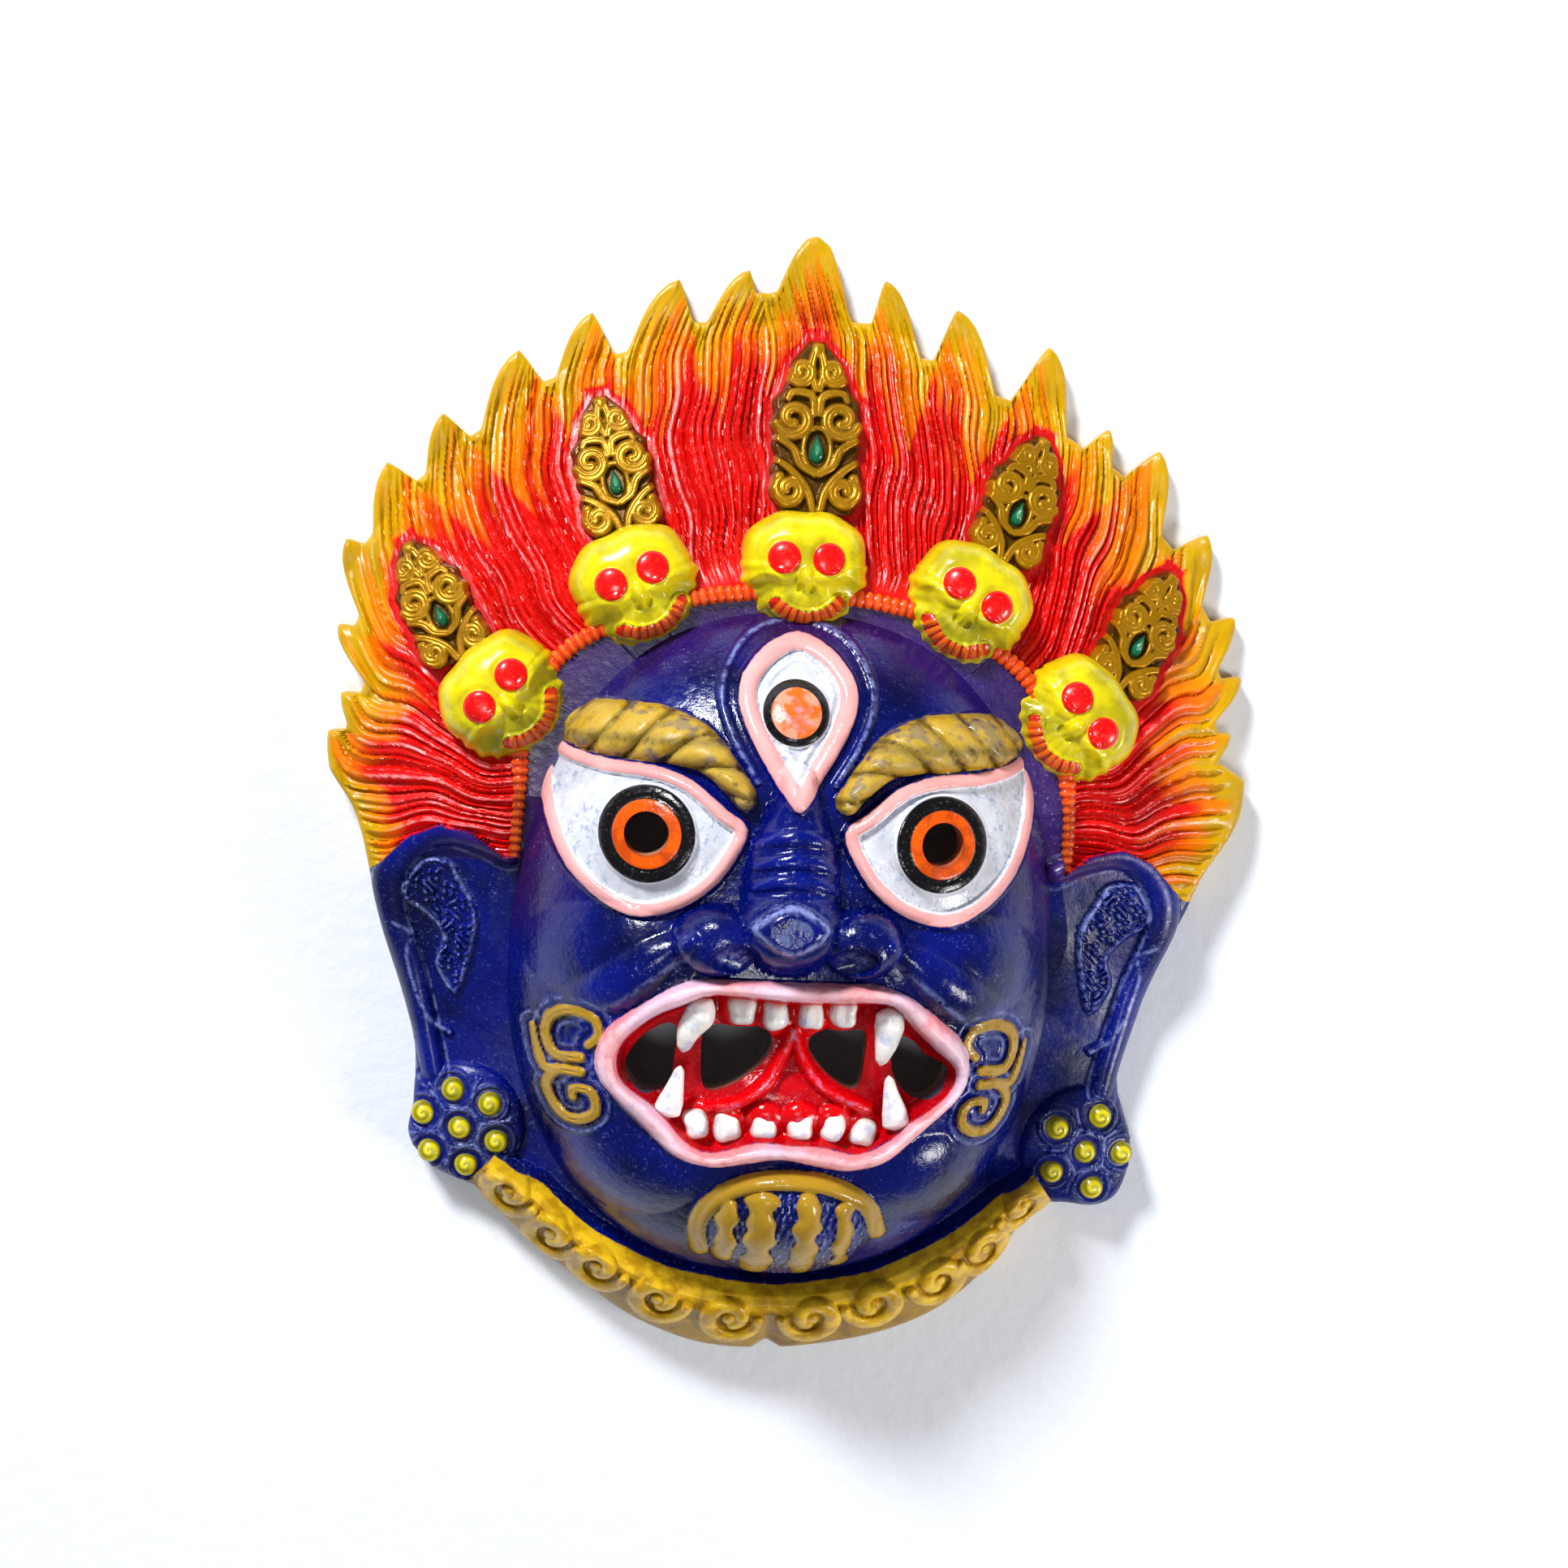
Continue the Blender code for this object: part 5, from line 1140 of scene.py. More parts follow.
# Path from root to tip and half widths of each fang
FANGS = {
    "upper_left_fang": (((-15.4, -33.4), (-14.8, -36.2), (-16.6, -39.4), (-17.5, -43.2)),
                        (2.2, 2.7, 2.0, 0.9)),
    "upper_right_fang": (((17.6, -34.2), (17.6, -37.0), (17.2, -40.4), (16.3, -44.4)),
                         (2.4, 2.6, 1.9, 0.8)),
    "lower_left_fang": (((-20.0, -55.0), (-19.0, -51.6), (-18.3, -48.6), (-17.7, -45.6)),
                        (2.5, 2.2, 1.4, 0.7)),
    "lower_right_fang": (((20.2, -56.2), (19.4, -52.6), (18.6, -49.4), (18.0, -46.2)),
                         (2.5, 2.2, 1.4, 0.7)),
}
mouth_pieces = [tooth(f"tooth_{i + 1}", c, h, lean, i * 1.7) for i, (c, h, lean) in enumerate(TEETH)]
mouth_pieces += [fang(name, points, widths) for name, (points, widths) in FANGS.items()]

# %% Skulls of the crown
# Middle and lean of each skull, in degrees to the left
SKULLS = (((-50.6, 15.2), 48.0), ((-28.4, 35.6), 25.0), ((1.0, 39.8), 0.0), ((30.4, 35.0), -30.0),
          ((50.8, 15.2), -51.0))
SKULL_RADII = (11.2, 10.4)
SKULL_HEIGHT = 8.5
SKULL_SQUARENESS = 2.7
# An eye's distance from the middle line, its height and its radius
SOCKET = (3.9, 1.9, 2.85)
GRIN = ((-5.0, -6.2), (-2.6, -7.8), (0.6, -8.4), (3.8, -7.6), (6.4, -5.4))


def skull(number, centre, lean):
    """A domed cushion, narrower at the jaw, with hollow cheeks, drop eyes, nose and a toothed grin."""
    a = np.linspace(0, 2 * math.pi, 200, endpoint=False)
    way = np.stack([np.cos(a), np.sin(a)], 1)
    size = np.full(200, 10.0)
    for _ in range(12):
        q = way * size[:, None]
        narrow = 1 - 0.15 * step(-q[:, 1], 0.5, SKULL_RADII[1])
        n = SKULL_SQUARENESS
        u, v = q[:, 0] / (SKULL_RADII[0] * narrow), q[:, 1] / SKULL_RADII[1]
        size = size / (np.abs(u) ** n + np.abs(v) ** n) ** (1 / n)
    ragged = 1 + 0.016 * np.sin(a * 9 + number)
    ragged = ragged + 0.022 * np.sin(a * 23 + 2 * number) * (np.sin(a) < 0.1)
    plan = disc(way * (size * ragged)[:, None], 64, 0.02, 0.8)
    share = np.broadcast_to(0.02 + 0.98 * np.linspace(0, 1, 64)[:, None] ** 0.8, plan.shape[:2])
    q = plan.reshape(-1, 2)
    ground = plate_height(np.array([centre]))[0]
    top = ground - 1.0 + SKULL_HEIGHT * np.clip(1 - share.ravel() ** 3, 0, 1) ** 0.5
    top = top - 1.2 * step(-q[:, 1], -0.5, 4.0) + bump(q, (0.0, -1.8), (1.6, 2.4), 1.6)
    for side in (1, -1):
        top = top - bump(q, (side * 1.0, -3.4), (0.8, 0.9), 0.7)
        top = top - bump(q, (side * 6.8, -3.4), (2.8, 2.6), 1.3)
        top = top + bump(q, (side * 4.2, -1.2), (3.0, 1.6), 0.8)
    grin = curve(GRIN, 6)
    gap, along = nearest(q, grin)
    ticks = wave(along, 9)
    top = top + 1.2 * rounded(gap, 1.7, 0.5) - 0.5 * (gap < 1.2) * ticks**1.5
    eyes = np.minimum(*[np.hypot(q[:, 0] - s * SOCKET[0], q[:, 1] - SOCKET[1]) for s in (1, -1)])
    top = top - 0.6 * rounded(eyes, 3.9) + 1.3 * rounded(eyes, SOCKET[2], 0.5)
    guides = {"drop": eyes, "grin": 1.1 - gap, "ticks": ticks, "share": share.ravel(),
              "low": -q[:, 1]}
    c, s = math.cos(math.radians(lean)), math.sin(math.radians(lean))
    placed = np.stack([centre[0] + q[:, 0] * c - q[:, 1] * s, centre[1] + q[:, 0] * s + q[:, 1] * c], 1)
    return slab(f"skull_{number}", placed.reshape(plan.shape), top.reshape(plan.shape[:2]),
                ground - 4.0, guides, wrap=True)


skulls = [skull(i + 1, centre, lean) for i, (centre, lean) in enumerate(SKULLS)]

# %% Finials of curls
# Curls of a finial: share of its length, share of its half width, radius in half widths, start, turns
CURLS = ((0.13, 0.56, 0.34, 130, 1.15), (0.53, 0.50, 0.40, 200, 1.2), (0.80, 0.34, 0.28, 180, 1.1))
# Stems between the curls, as shares of the half width and of the length
STEMS = (((0.08, 0.02), (0.2, 0.13), (0.55, 0.24), (0.88, 0.30)),
         ((0.05, 0.22), (0.34, 0.27), (0.5, 0.36), (0.86, 0.42)),
         ((0.06, 0.56), (0.12, 0.66), (0.5, 0.68), (0.62, 0.64)),
         ((0.04, 0.70), (0.14, 0.80), (0.1, 0.88), (0.02, 0.94)))
# The stone: share of the length, half width and half length in half widths of the finial
STONE = (0.36, 0.17, 0.34)
TIP_SHARE = 0.985


def cord_relief(q, path, widths):
    """A raised cord with a shallow groove along its back."""
    gap, along = nearest(q, path)
    width = np.interp(along, np.linspace(0, 1, len(widths)), widths)
    return 1.5 * rounded(gap, width, 0.5) - 0.25 * tent(gap, 0.4)


def finial(number, foot, tip, half):
    """A leaf-shaped plate with cords that wind into curls in pairs on either side of the stone."""
    foot, tip = np.array(foot), np.array(tip)
    length = np.hypot(*(tip - foot))
    up = (tip - foot) / length
    across = np.array((up[1], -up[0]))
    v, w = np.meshgrid(np.linspace(0.0, TIP_SHARE, 170), np.linspace(-1, 1, 76), indexing="ij")
    q = np.stack([w * finial_profile(v, half), v * length], -1).reshape(-1, 2)
    room = (1 - np.abs(w.ravel())) * finial_profile(v.ravel(), half)
    room = np.minimum(room, (TIP_SHARE - v.ravel()) * length)
    plan = foot + q[:, :1] * across + q[:, 1:] * up
    ground = plate_height(plan)
    cords = np.zeros(len(q))
    for along, aside, radius, start, turns in CURLS:
        for sign in (1, -1):
            centre = (sign * aside * half, along * length)
            first = start if sign < 0 else 180 - start
            path = spiral(centre, radius * half, turns, first, -sign, 0.28)
            cords = np.maximum(cords, cord_relief(q, path, (1.15, 1.35, 1.2)))
    for sign in (1, -1):
        for points in STEMS:
            stem = curve([(sign * x * half, y * length) for x, y in points], 5)
            cords = np.maximum(cords, cord_relief(q, stem, (0.8, 1.0, 0.7)))
    cords = np.maximum(cords, bump(q, (0.0, 0.93 * length), (1.4, 2.0), 1.5, power=0.5))
    ring = ellipse((0.0, STONE[0] * length), (STONE[1] * half + 1.0, STONE[2] * half + 1.0), 24)
    cords = np.maximum(cords, ridge(q, shut(ring), (0.7, 0.7), 1.2))
    top = ground + 2.4 * step(room, 0.0, 0.9) + cords - 0.6
    placed = plan.reshape(v.shape + (2,))
    base = plate_height(placed.reshape(-1, 2)).min() - 2.0
    piece = slab(f"finial_{number}", placed, top.reshape(v.shape), base, {"cord": cords})
    t = np.linspace(0, 2 * math.pi, 40, endpoint=False)
    aside = 1.3 * np.sin(t) * np.sin(t / 2) ** 1.4 * STONE[1] * half
    along = np.cos(t) * STONE[2] * half + STONE[0] * length
    drop = foot + aside[:, None] * across + along[:, None] * up
    plan = disc(drop, 12, power=0.8)
    share = np.broadcast_to(np.linspace(0.04, 1, 12)[:, None] ** 0.8, plan.shape[:2])
    seat = plate_height(drop.mean(0)[None])[0] + 1.8
    stone = slab(f"stone_{number}", plan, seat + 1.7 * np.sqrt(np.clip(1 - share**2, 0, 1)), seat - 1.0,
                 {"share": share}, wrap=True, sharp=80)
    return piece, stone


plates, stones = zip(*(finial(i + 1, *facts) for i, facts in enumerate(FINIALS)))

# %% Beaded band and ear dots
BEADS = 150 / 1.4
DOT_RADIUS = 2.25


def beaded_band():
    """A flattened tube along the crown's arch, its half width and height pinched between beads."""
    count = 900
    path = evenly(ARCH, count)
    pinch = 1 - 0.30 * wave(np.linspace(0, 1, count), BEADS) ** 2
    low = step(-path[:, 1], -4.0, 2.0)
    z = plate_height(path) + 0.5
    place = np.arange(count)
    ends = np.sqrt(np.clip(np.minimum(place, place[::-1]) / 6, 0.05, 1))
    across = (1.6 - 0.45 * low) * pinch * ends
    return tube("beaded_band", np.concatenate([path, z[:, None]], 1), across, across * 0.6, 12,
                {"pinch": pinch, "low": low})


def ear_dot(name, centre):
    """A button: a half ball with a shallow spiral groove."""
    border = ellipse(centre, (DOT_RADIUS,) * 2, 44)
    plan = disc(border, 24, 0.03)
    share = np.broadcast_to(np.linspace(0.03, 1, 24)[:, None], plan.shape[:2])
    q = plan.reshape(-1, 2) - centre
    turn = np.arctan2(q[:, 1], q[:, 0]) / (2 * math.pi)
    swirl = wave(turn + share.ravel() * 1.6, 1.0).reshape(share.shape)
    ground = plate_height(np.array([centre]))[0] + 2.6
    top = ground + 2.0 * np.sqrt(np.clip(1 - share**2, 0, 1)) - 0.25 * (1 - swirl) * (1 - share)
    return slab(name, plan, top, ground - 1.5, {"share": share, "swirl": swirl}, wrap=True, sharp=80)


band = beaded_band()
dots = []
for label, (centre, petals, turn) in zip(("left", "right"), ORNAMENTS):
    spots = [centre] + list(ellipse(centre, (ORNAMENT_RING,) * 2, petals, turn=turn))
    dots += [ear_dot(f"{label}_ear_dot_{i + 1}", np.array(spot)) for i, spot in enumerate(spots)]

# %% [markdown]
# ## Paint
#
# The casting is painted by hand with gloss enamel. Thick paint pools a little, a thin dark wash
# stays in the hollows, and pale colour lies on the ridges: partly dry-brushed paint, partly a
# painted highlight, with specks of painted glint. One node group makes all of that for every
# colour. Each material first decides its colour from the guides and then passes it through the
# group.


# %% Short hands for shader nodes
def rgb(r, g, b):
    """A colour from values of 0 to 255 as on a screen, turned to linear light."""
    linear = [c / 255 / 12.92 if c < 10.31 else ((c / 255 + 0.055) / 1.055) ** 2.4 for c in (r, g, b)]
    return (*linear, 1.0)


def grey(value):
    return (value, value, value, 1)


EDGE_NOISE = 420.0
EDGE_SOFT = 0.12


class Palette:
    """Adds nodes to a tree; each method gives back the new node's output."""

    def __init__(self, tree):
        self.tree = tree

    def put(self, kind, feeds=None, **settings):
        node = self.tree.nodes.new(kind)
        for key, value in settings.items():
            setattr(node, key, value)
        for key, value in (feeds or {}).items():
            self.feed(node.inputs[key], value)
        return node

    def feed(self, socket, value):
        if isinstance(value, bpy.types.NodeSocket):
            self.tree.links.new(value, socket)
        else:
            socket.default_value = value

    def math(self, operation, a, b):
        return self.put("ShaderNodeMath", {0: a, 1: b}, operation=operation).outputs[0]

    def times(self, a, b):
        return self.math("MULTIPLY", a, b)

    def plus(self, a, b):
        return self.math("ADD", a, b)

    def most(self, a, b):
        return self.math("MAXIMUM", a, b)

    def shaken(self, value, by, amount):
        """The value moved up and down by a pattern that lies round 0.5."""
        return self.plus(value, self.times(self.math("SUBTRACT", by, 0.5), amount))

    def mix(self, share, a, b):
        return self.put("ShaderNodeMix", {0: share, 6: a, 7: b}, data_type="RGBA").outputs[2]

    def guide(self, name):
        return self.put("ShaderNodeAttribute", attribute_name=name).outputs["Fac"]

    def ramp(self, value, low, high, to_low=0.0, to_high=1.0):
        feeds = {"Value": value, "From Min": low, "From Max": high,
                 "To Min": to_low, "To Max": to_high}
        return self.put("ShaderNodeMapRange", feeds, interpolation_type="SMOOTHSTEP").outputs[0]

    def noise(self, scale, detail=3.0, roughness=0.55):
        at = self.put("ShaderNodeTexCoord").outputs["Object"]
        feeds = {"Vector": at, "Scale": scale, "Detail": detail, "Roughness": roughness}
        return self.put("ShaderNodeTexNoise", feeds).outputs["Fac"]

    def edge(self, name, at=0.0, wobble=0.5):
        """1 where the guide passes a value, with a hand-painted, slightly uneven border."""
        uneven = self.shaken(self.guide(name), self.noise(EDGE_NOISE, 2.0), wobble)
        return self.ramp(uneven, at - EDGE_SOFT, at + EDGE_SOFT)

    def mottled(self, scale, detail, low, high, a, b):
        """Two colours in patches: a below the noise's low value, b above its high value."""
        return self.mix(self.ramp(self.noise(scale, detail), low, high), a, b)


# %% Handwork and painted highlights shared by every colour
def hand_paint_group():
    """Broad darker pools, a wash in the hollows, pale colour on the ridges that is partly dry-brushed
    paint and partly a painted highlight, and stray specks of painted glint.
    """
    group = bpy.data.node_groups.new("hand_paint", "ShaderNodeTree")
    for way, names in (("INPUT", ("Color", "Raised", "Highlight", "Dry Brush And Highlight", "Wash", "Wash Amount")),
                       ("OUTPUT", ("Color", "Roughness", "Height"))):
        for name in names:
            kind = "NodeSocketColor" if name in ("Color", "Highlight", "Wash") else "NodeSocketFloat"
            group.interface.new_socket(name, in_out=way, socket_type=kind)
    n = Palette(group)
    given = n.put("NodeGroupInput").outputs
    broad, brush, glint_specks = n.noise(85, 3), n.noise(520, 4, 0.6), n.noise(1900, 3, 0.6)
    dark = n.mix(0.55, given["Color"], (0, 0, 0, 1))
    colour = n.mix(n.ramp(broad, 0.62, 0.30, 0.0, 0.38), given["Color"], dark)
    low = n.ramp(n.shaken(given["Raised"], brush, 0.5), 0.35, 0.0)
    colour = n.mix(n.times(low, given["Wash Amount"]), colour, given["Wash"])
    # Pale colour on the ridges is partly dry-brushed paint and partly a painted highlight; the specks are
    # painted glints.
    high = n.ramp(n.shaken(given["Raised"], brush, 0.9), 0.78, 1.05)
    high = n.most(high, n.times(n.ramp(glint_specks, 0.60, 0.70), 0.22))
    colour = n.mix(n.times(high, given["Dry Brush And Highlight"]), colour, given["Highlight"])
    rough = n.plus(n.ramp(brush, 0.3, 0.7, 0.0, 0.14), n.times(high, 0.2))
    height = n.plus(n.times(brush, 0.7), broad)
    put = n.put("NodeGroupOutput")
    for name, value in (("Color", colour), ("Roughness", rough), ("Height", height)):
        n.feed(put.inputs[name], value)
    print("hand_paint group:", len(group.nodes), "nodes")
    return group


HAND_PAINT = hand_paint_group()


def material(name, colour, raised, highlight, dry_brush_and_highlight, wash, washed, gloss=0.2, bump=0.25, metal=0.0,
             coat=0.3, back=True):
    """A finish from its colour, how raised each place is, and the colours and amounts of the handwork
    and the painted highlight. Each is a value or a function that makes nodes. With back, unpainted
    resin shows behind."""
    made = bpy.data.materials.new(name)
    made.use_nodes = True
    n = Palette(made.node_tree)
    shader = made.node_tree.nodes["Principled BSDF"]
    hand = n.put("ShaderNodeGroup", node_tree=HAND_PAINT)
    for key, value in (("Color", colour), ("Raised", raised), ("Highlight", highlight),
                       ("Dry Brush And Highlight", dry_brush_and_highlight), ("Wash", wash), ("Wash Amount", washed)):
        n.feed(hand.inputs[key], value(n) if callable(value) else value)
    final, rough = hand.outputs["Color"], n.plus(hand.outputs["Roughness"], gloss)
    if back:
        behind = n.guide("back")
        plain = n.mix(n.noise(160, 4), rgb(150, 122, 96), rgb(188, 164, 136))
        final = n.mix(behind, final, plain)
        rough = n.mix(behind, rough, grey(0.7))
    n.feed(shader.inputs["Base Color"], final)
    n.feed(shader.inputs["Roughness"], rough)
    shader.inputs["Metallic"].default_value = metal
    shader.inputs["Coat Weight"].default_value = coat
    shader.inputs["Coat Roughness"].default_value = 0.12
    shader.inputs["Specular IOR Level"].default_value = 0.35
    relief = n.put("ShaderNodeBump",
                   {"Height": hand.outputs["Height"], "Strength": bump, "Distance": 0.0006})
    n.feed(shader.inputs["Normal"], relief.outputs["Normal"])
    print("finish", name)
    return made


# %% Colours of the face
BLUE = rgb(2, 18, 124)
DEEP_BLUE = rgb(0, 4, 62)
PALE_BLUE = rgb(142, 154, 216)
GOLD = rgb(176, 136, 34)
PINK = rgb(246, 172, 168)
WHITE = rgb(240, 242, 250)
GREY_BLUE = rgb(188, 198, 226)
RED = rgb(216, 0, 8)
ORANGE = rgb(242, 92, 2)
BLACK = rgb(14, 12, 14)
LIGHT_BLUE = rgb(150, 172, 230)
LIGHT_GOLD = rgb(236, 200, 96)
BLUE_BLACK = rgb(0, 2, 22)


def blue_paint(n):
    """Deep blue, purplish beside the crown and worn pale on thin lines, with painted glints on the
    ears' small bumps and in patches of small flecks.
    """
    c = n.mottled(60, 2, 0.35, 0.7, BLUE, DEEP_BLUE)
    c = n.mix(n.times(n.ramp(n.guide("purple"), 17.0, 2.0), 0.75), c, rgb(66, 26, 92))
    glint_flecks = n.times(n.ramp(n.noise(1300, 3, 0.7), 0.60, 0.68),
                     n.ramp(n.noise(75, 3), 0.46, 0.62, 0.0, 0.5))
    wear_and_glint = n.times(n.guide("pale"), n.ramp(n.noise(700, 3), 0.35, 0.6))
    return n.mix(n.most(wear_and_glint, glint_flecks), c, PALE_BLUE)


def face_colour(n):
    """Colours laid over each other in the order in which a painter would lay them."""
    c = blue_paint(n)
    c = n.mix(n.edge("gold"), c, GOLD)
    gilt = n.mottled(230, 4, 0.50, 0.62, rgb(186, 146, 26), rgb(92, 76, 84))
    # Dark brown in the grooves of the twisted brows: painted shade.
    gilt = n.mix(n.ramp(n.guide("crease"), 0.25, 0.95, 0.0, 0.8), gilt, rgb(66, 46, 22))
    c = n.mix(n.edge("brow", 0.1), c, gilt)
    speckled = n.times(n.ramp(n.noise(900, 4, 0.7), 0.5, 0.62),
                       n.ramp(n.noise(120, 2), 0.42, 0.6))
    white = n.mix(speckled, WHITE, GREY_BLUE)
    c = n.mix(n.edge("eye", -0.4), c, PINK)
    c = n.mix(n.edge("eye", 1.7), c, white)
    c = n.mix(n.ramp(n.guide("iris"), 8.3, 8.05), c, BLACK)
    amber = n.mottled(260, 3, 0.42, 0.62, ORANGE, rgb(196, 70, 6))
    iris_ring = n.times(n.ramp(n.guide("iris"), 5.9, 5.7), n.ramp(n.guide("iris"), 3.6, 3.7))
    c = n.mix(iris_ring, c, amber)
    c = n.mix(n.edge("third", -0.2), c, PINK)
    c = n.mix(n.edge("third", 2.8), c, white)
    c = n.mix(n.ramp(n.guide("third_iris"), 5.8, 5.6), c, BLACK)
    coral = n.mottled(300, 2, 0.45, 0.6, rgb(226, 104, 24), rgb(236, 150, 120))
    c = n.mix(n.ramp(n.guide("third_iris"), 4.4, 4.2), c, coral)
    lips = n.mottled(70, 2, 0.4, 0.6, rgb(242, 140, 146), rgb(226, 182, 206))
    c = n.mix(n.edge("lip"), c, lips)
    return n.mix(n.edge("mouth"), c, RED)


def face_raised(n):
    return n.ramp(n.guide("relief"), -0.6, 3.4)


def face_highlight(n):
    """Pale blue on the blue, light gold on the gilding and white on lids and lips."""
    c = n.mix(n.edge("gold"), LIGHT_BLUE, LIGHT_GOLD)
    c = n.mix(n.edge("brow"), c, rgb(214, 184, 84))
    return n.mix(n.most(n.edge("eye", -0.4), n.edge("lip")), c, rgb(252, 226, 226))


face.data.materials.append(material("face_paint", face_colour, face_raised, face_highlight, 0.35,
                                    BLUE_BLACK, 0.3, gloss=0.12, bump=0.4, coat=0.0))

# %% Colours of the ring
def ring_colour(n):
    """Red at the roots, orange further out and mustard at the tips, by distance from the outline."""
    far = n.shaken(n.guide("edge"), n.guide("streak"), 8.0)
    far = n.shaken(far, n.noise(90, 2), 13.0)
    c = n.mix(n.ramp(far, 3.0, 11.0), rgb(210, 164, 0), rgb(250, 124, 0))
    c = n.mix(n.ramp(far, 11.5, 20.0), c, rgb(232, 14, 8))
    # The lock grooves and the sunk channel beside the finials turn darker red, mustard towards the tips:
    # painted shade.
    c = n.mix(n.times(n.ramp(n.guide("groove"), 0.6, 1.0), 0.5), c,
              n.mix(n.ramp(far, 7.0, 15.0), rgb(212, 160, 0), rgb(160, 2, 6)))
    c = n.mix(n.edge("blue", wobble=0.8), c, blue_paint(n))
    gold = n.mottled(120, 4, 0.40, 0.66, rgb(206, 158, 14), rgb(150, 108, 8))
    highlit_gold = n.mottled(300, 4, 0.42, 0.62, rgb(232, 186, 26), rgb(190, 142, 14))
    # Brighter gold on the raised scrolls and welt: painted highlight.
    gold = n.mix(n.ramp(n.guide("relief"), 0.3, 1.2), gold, highlit_gold)
    return n.mix(n.edge("trim"), c, gold)


def ring_raised(n):
    """The crests of the locks outside the blue, less towards the tips, and the raised forms."""
    lock = n.times(n.ramp(n.guide("groove"), 0.42, 0.0), n.ramp(n.guide("blue"), 0.3, -0.3))
    lock = n.times(lock, n.ramp(n.guide("rise"), 0.0, 1.0, 1.0, 0.6))
    form = n.ramp(n.guide("relief"), -1.6, 5.2, 0.0, 0.9)
    form = n.times(form, n.mix(n.edge("trim"), grey(0.8), grey(1)))
    return n.most(lock, form)


def ring_wash(n):
    """Dark red in the flames, black-blue on the ears and brown in the trim's hollows."""
    c = n.mix(n.edge("blue"), rgb(110, 20, 2), BLUE_BLACK)
    return n.mix(n.edge("trim"), c, rgb(84, 52, 2))


def ring_washed(n):
    return n.mix(n.edge("trim"), grey(0.12), grey(0.55))


def ring_highlight(n):
    """Pinkish white on the red, light orange towards the tips, pale blue on the ears and light gold
    on the trim."""
    c = n.mix(n.ramp(n.guide("edge"), 8.0, 22.0), rgb(244, 150, 4), rgb(250, 164, 164))
    c = n.mix(n.edge("blue"), c, LIGHT_BLUE)
    return n.mix(n.edge("trim"), c, LIGHT_GOLD)


ring_paint = material("halo_paint", ring_colour, ring_raised, ring_highlight, 0.62, ring_wash,
                      ring_washed, gloss=0.24, coat=0.0)
for piece in (halo, left_ear, jaw_trim, right_ear):
    piece.data.materials.append(ring_paint)

# %% Colours of skulls, finials and small pieces
def skull_colour(n):
    """Lemon with olive shadows towards the jaw, a yellow border, orange and red teeth, red eyes."""
    c = n.mottled(150, 3, 0.42, 0.66, rgb(236, 218, 4), rgb(196, 180, 8))
    shadow = n.times(n.ramp(n.guide("low"), 0.5, 5.0), n.ramp(n.noise(210, 3), 0.4, 0.6, 0.1, 0.6))
    c = n.mix(shadow, c, rgb(126, 126, 16))
    ticks = n.mix(n.ramp(n.guide("ticks"), 0.5, 0.9), rgb(240, 100, 10), rgb(206, 12, 8))
    c = n.mix(n.ramp(n.guide("share"), 0.84, 0.95), c, rgb(240, 206, 4))
    c = n.mix(n.edge("grin", wobble=1.2), c, ticks)
    return n.mix(n.ramp(n.guide("drop"), 2.95, 2.8), c, rgb(244, 4, 6))


def skull_raised(n):
    return n.plus(n.ramp(n.guide("share"), 1.0, 0.3, 0.15, 0.5),
                  n.ramp(n.guide("drop"), 3.0, 2.6, 0.0, 0.1))


def cord_colour(n):
    # Dark brown-gold on the ground between the cords and bright gold on the cords: painted shade and
    # painted highlight.
    return n.mix(n.ramp(n.guide("cord"), 0.3, 1.5), rgb(104, 70, 0), rgb(176, 124, 0))


def domed(n):
    """Raised in the middle of a round form and low at its foot."""
    return n.ramp(n.guide("share"), 1.0, 0.2)


def tooth_colour(n):
    return n.mottled(400, 3, 0.5, 0.66, rgb(244, 242, 236), rgb(206, 212, 232))


def dot_colour(n):
    # Darker olive in the spiral groove: painted shade.
    return n.mix(n.ramp(n.guide("swirl"), 0.2, 0.7), rgb(150, 140, 6), rgb(226, 208, 4))


skull_paint = material("skull_paint", skull_colour, skull_raised, rgb(250, 240, 120), 0.35,
                       rgb(120, 110, 14), 0.4, back=False)
gilt = material("finial_paint", cord_colour, lambda n: n.ramp(n.guide("cord"), 0.4, 1.9),
                rgb(236, 184, 20), 0.6, rgb(72, 44, 0), 0.6, gloss=0.26, coat=0.0, metal=0.45,
                back=False)
enamel = material("tooth_paint", tooth_colour, domed, rgb(252, 250, 246), 0.5,
                  rgb(190, 170, 160), 0.4, back=False)
green = material("stone_paint", lambda n: n.mix(n.noise(900, 2), rgb(8, 84, 52), rgb(22, 128, 84)),
                 domed, rgb(120, 200, 160), 0.3, rgb(4, 30, 20), 0.4, gloss=0.12, back=False)
button = material("dot_paint", dot_colour, domed, rgb(240, 230, 90), 0.4, rgb(60, 58, 16), 0.5,
                  back=False)
bead = material("band_paint", lambda n: n.mix(n.guide("low"), rgb(240, 66, 0), rgb(170, 52, 4)),
                lambda n: n.ramp(n.guide("pinch"), 0.7, 1.0), rgb(250, 118, 4), 0.4,
                rgb(140, 12, 2), 0.6, coat=0.0, back=False)
for pieces, paint in ((mouth_pieces, enamel), (skulls, skull_paint), (plates, gilt),
                      (stones, green), (dots, button), ([band], bead)):
    for piece in pieces:
        piece.data.materials.append(paint)

# %% [markdown]
# ## Floor, light and camera
#
# The mask lies on its back on a pale plastered floor, and the camera looks down on its face from
# the photograph's angle. A soft light beyond the crown gives the gloss on brows and lids. Two
# weaker ones, from the other side and from overhead, keep the hollows readable.


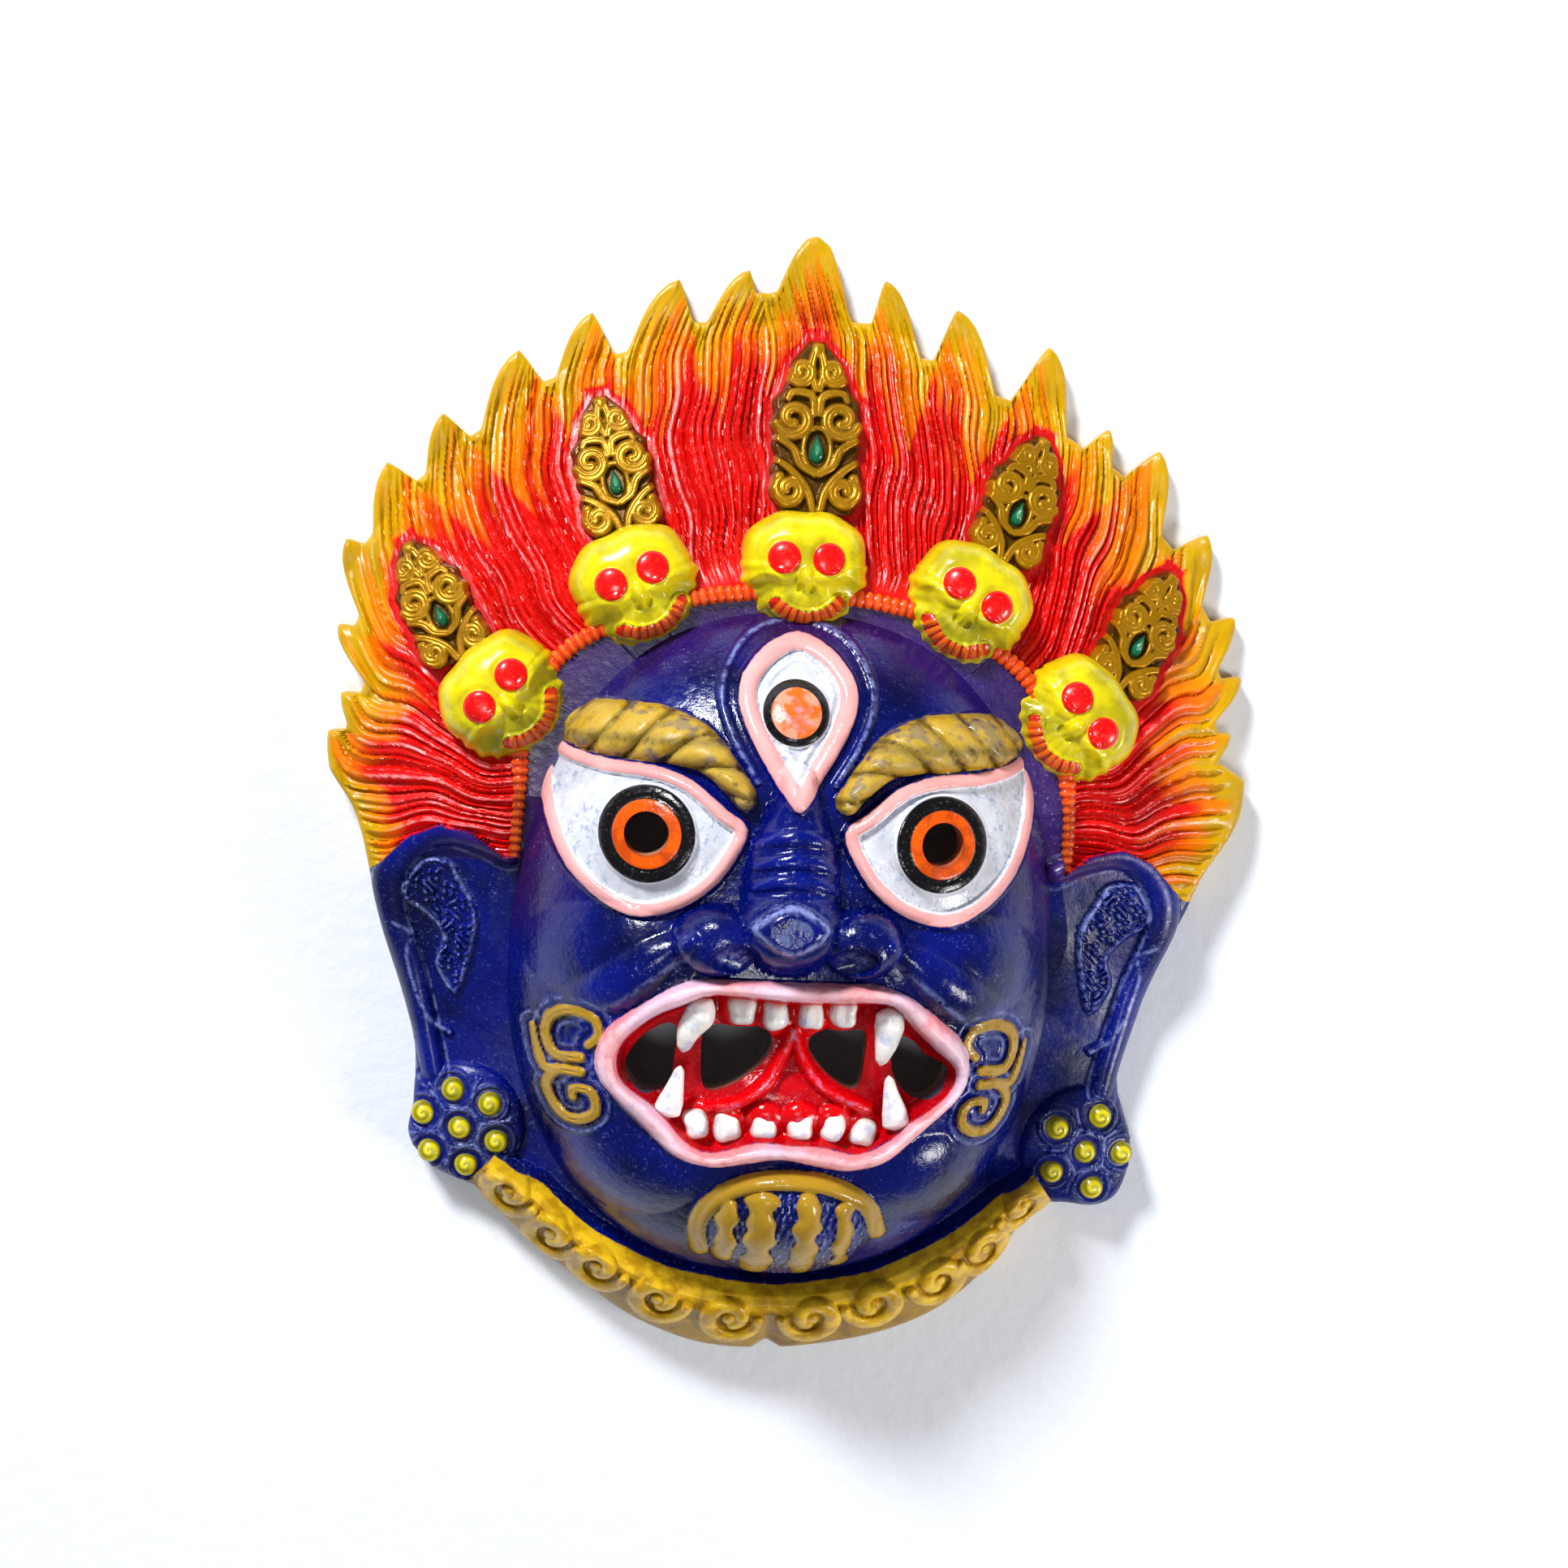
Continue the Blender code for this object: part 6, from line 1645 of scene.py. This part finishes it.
# %% Floor
def make_floor():
    mesh = bpy.data.meshes.new("floor")
    mesh.from_pydata([(-3, -3, 0), (3, -3, 0), (3, 3, 0), (-3, 3, 0)], [], [(0, 1, 2, 3)])
    floor = bpy.data.objects.new("floor", mesh)
    bpy.context.scene.collection.objects.link(floor)
    made = bpy.data.materials.new("pale_plaster")
    made.use_nodes = True
    n = Palette(made.node_tree)
    shader = made.node_tree.nodes["Principled BSDF"]
    n.feed(shader.inputs["Base Color"], n.mix(n.noise(7, 4), rgb(226, 230, 238), rgb(238, 240, 244)))
    shader.inputs["Roughness"].default_value = 0.8
    relief = n.put("ShaderNodeBump", {"Height": n.noise(260, 5), "Strength": 0.25, "Distance": 0.001})
    n.feed(shader.inputs["Normal"], relief.outputs["Normal"])
    mesh.materials.append(made)
    return floor


floor = make_floor()


# %% Lights
MASK_MIDDLE = (0, 0, 0.02)


def soft_light(name, place, size, watts, colour):
    """A rectangular area light that faces the middle of the mask."""
    light = bpy.data.lights.new(name, "AREA")
    light.shape = "RECTANGLE"
    light.size, light.size_y = size
    light.energy = watts
    light.color = colour
    lamp = bpy.data.objects.new(name, light)
    lamp.location = place
    aim = Vector(MASK_MIDDLE) - Vector(place)
    lamp.rotation_euler = aim.to_track_quat("-Z", "Y").to_euler()
    bpy.context.scene.collection.objects.link(lamp)


soft_light("window", (-0.46, 0.77, 0.62), (0.2, 0.18), 16.0, (0.95, 0.97, 1.0))
soft_light("fill", (0.95, -0.42, 0.5), (0.3, 0.3), 8.0, (1.0, 0.97, 0.93))
soft_light("ceiling", (-0.1, -0.25, 1.3), (0.24, 0.24), 4.0, (1.0, 1.0, 1.0))
world = bpy.data.worlds.new("room")
bpy.context.scene.world = world
world.use_nodes = True
background = world.node_tree.nodes["Background"].inputs
background["Color"].default_value = (0.80, 0.88, 1.0, 1.0)
background["Strength"].default_value = 0.2

# %% Camera
VIEW_YAW = -4.0
VIEW_TILT = 4.0
VIEW_ROLL = 2.5
VIEW_DISTANCE = 0.4189
VIEW_POINT = (-0.001461, 0.002289, 0.01169)
PICTURE_SIZE = 1932


def make_camera():
    """Looks down on the mask: back is the direction towards the camera, right and up span the view."""
    yaw, tilt, roll = map(math.radians, (VIEW_YAW, VIEW_TILT, VIEW_ROLL))
    back = Vector((math.sin(yaw) * math.cos(tilt), math.sin(tilt), math.cos(yaw) * math.cos(tilt)))
    back.normalize()
    right = Vector((0, 1, 0)).cross(back).normalized()
    up = back.cross(right)
    c, s = math.cos(roll), math.sin(roll)
    right, up = right * c + up * s, up * c - right * s
    data = bpy.data.cameras.new("camera")
    data.sensor_width = 36.0
    data.lens = 54.72
    data.shift_x, data.shift_y = -2 / PICTURE_SIZE, 9 / PICTURE_SIZE
    data.clip_start = 0.01
    camera = bpy.data.objects.new("camera", data)
    bpy.context.scene.collection.objects.link(camera)
    place = Vector(VIEW_POINT) + back * VIEW_DISTANCE
    camera.matrix_world = Matrix([(*row, at) for *row, at in zip(right, up, back, place)]
                                 + [(0, 0, 0, 1)])
    return camera


bpy.context.scene.camera = make_camera()
bpy.context.scene.view_settings.view_transform = "Standard"
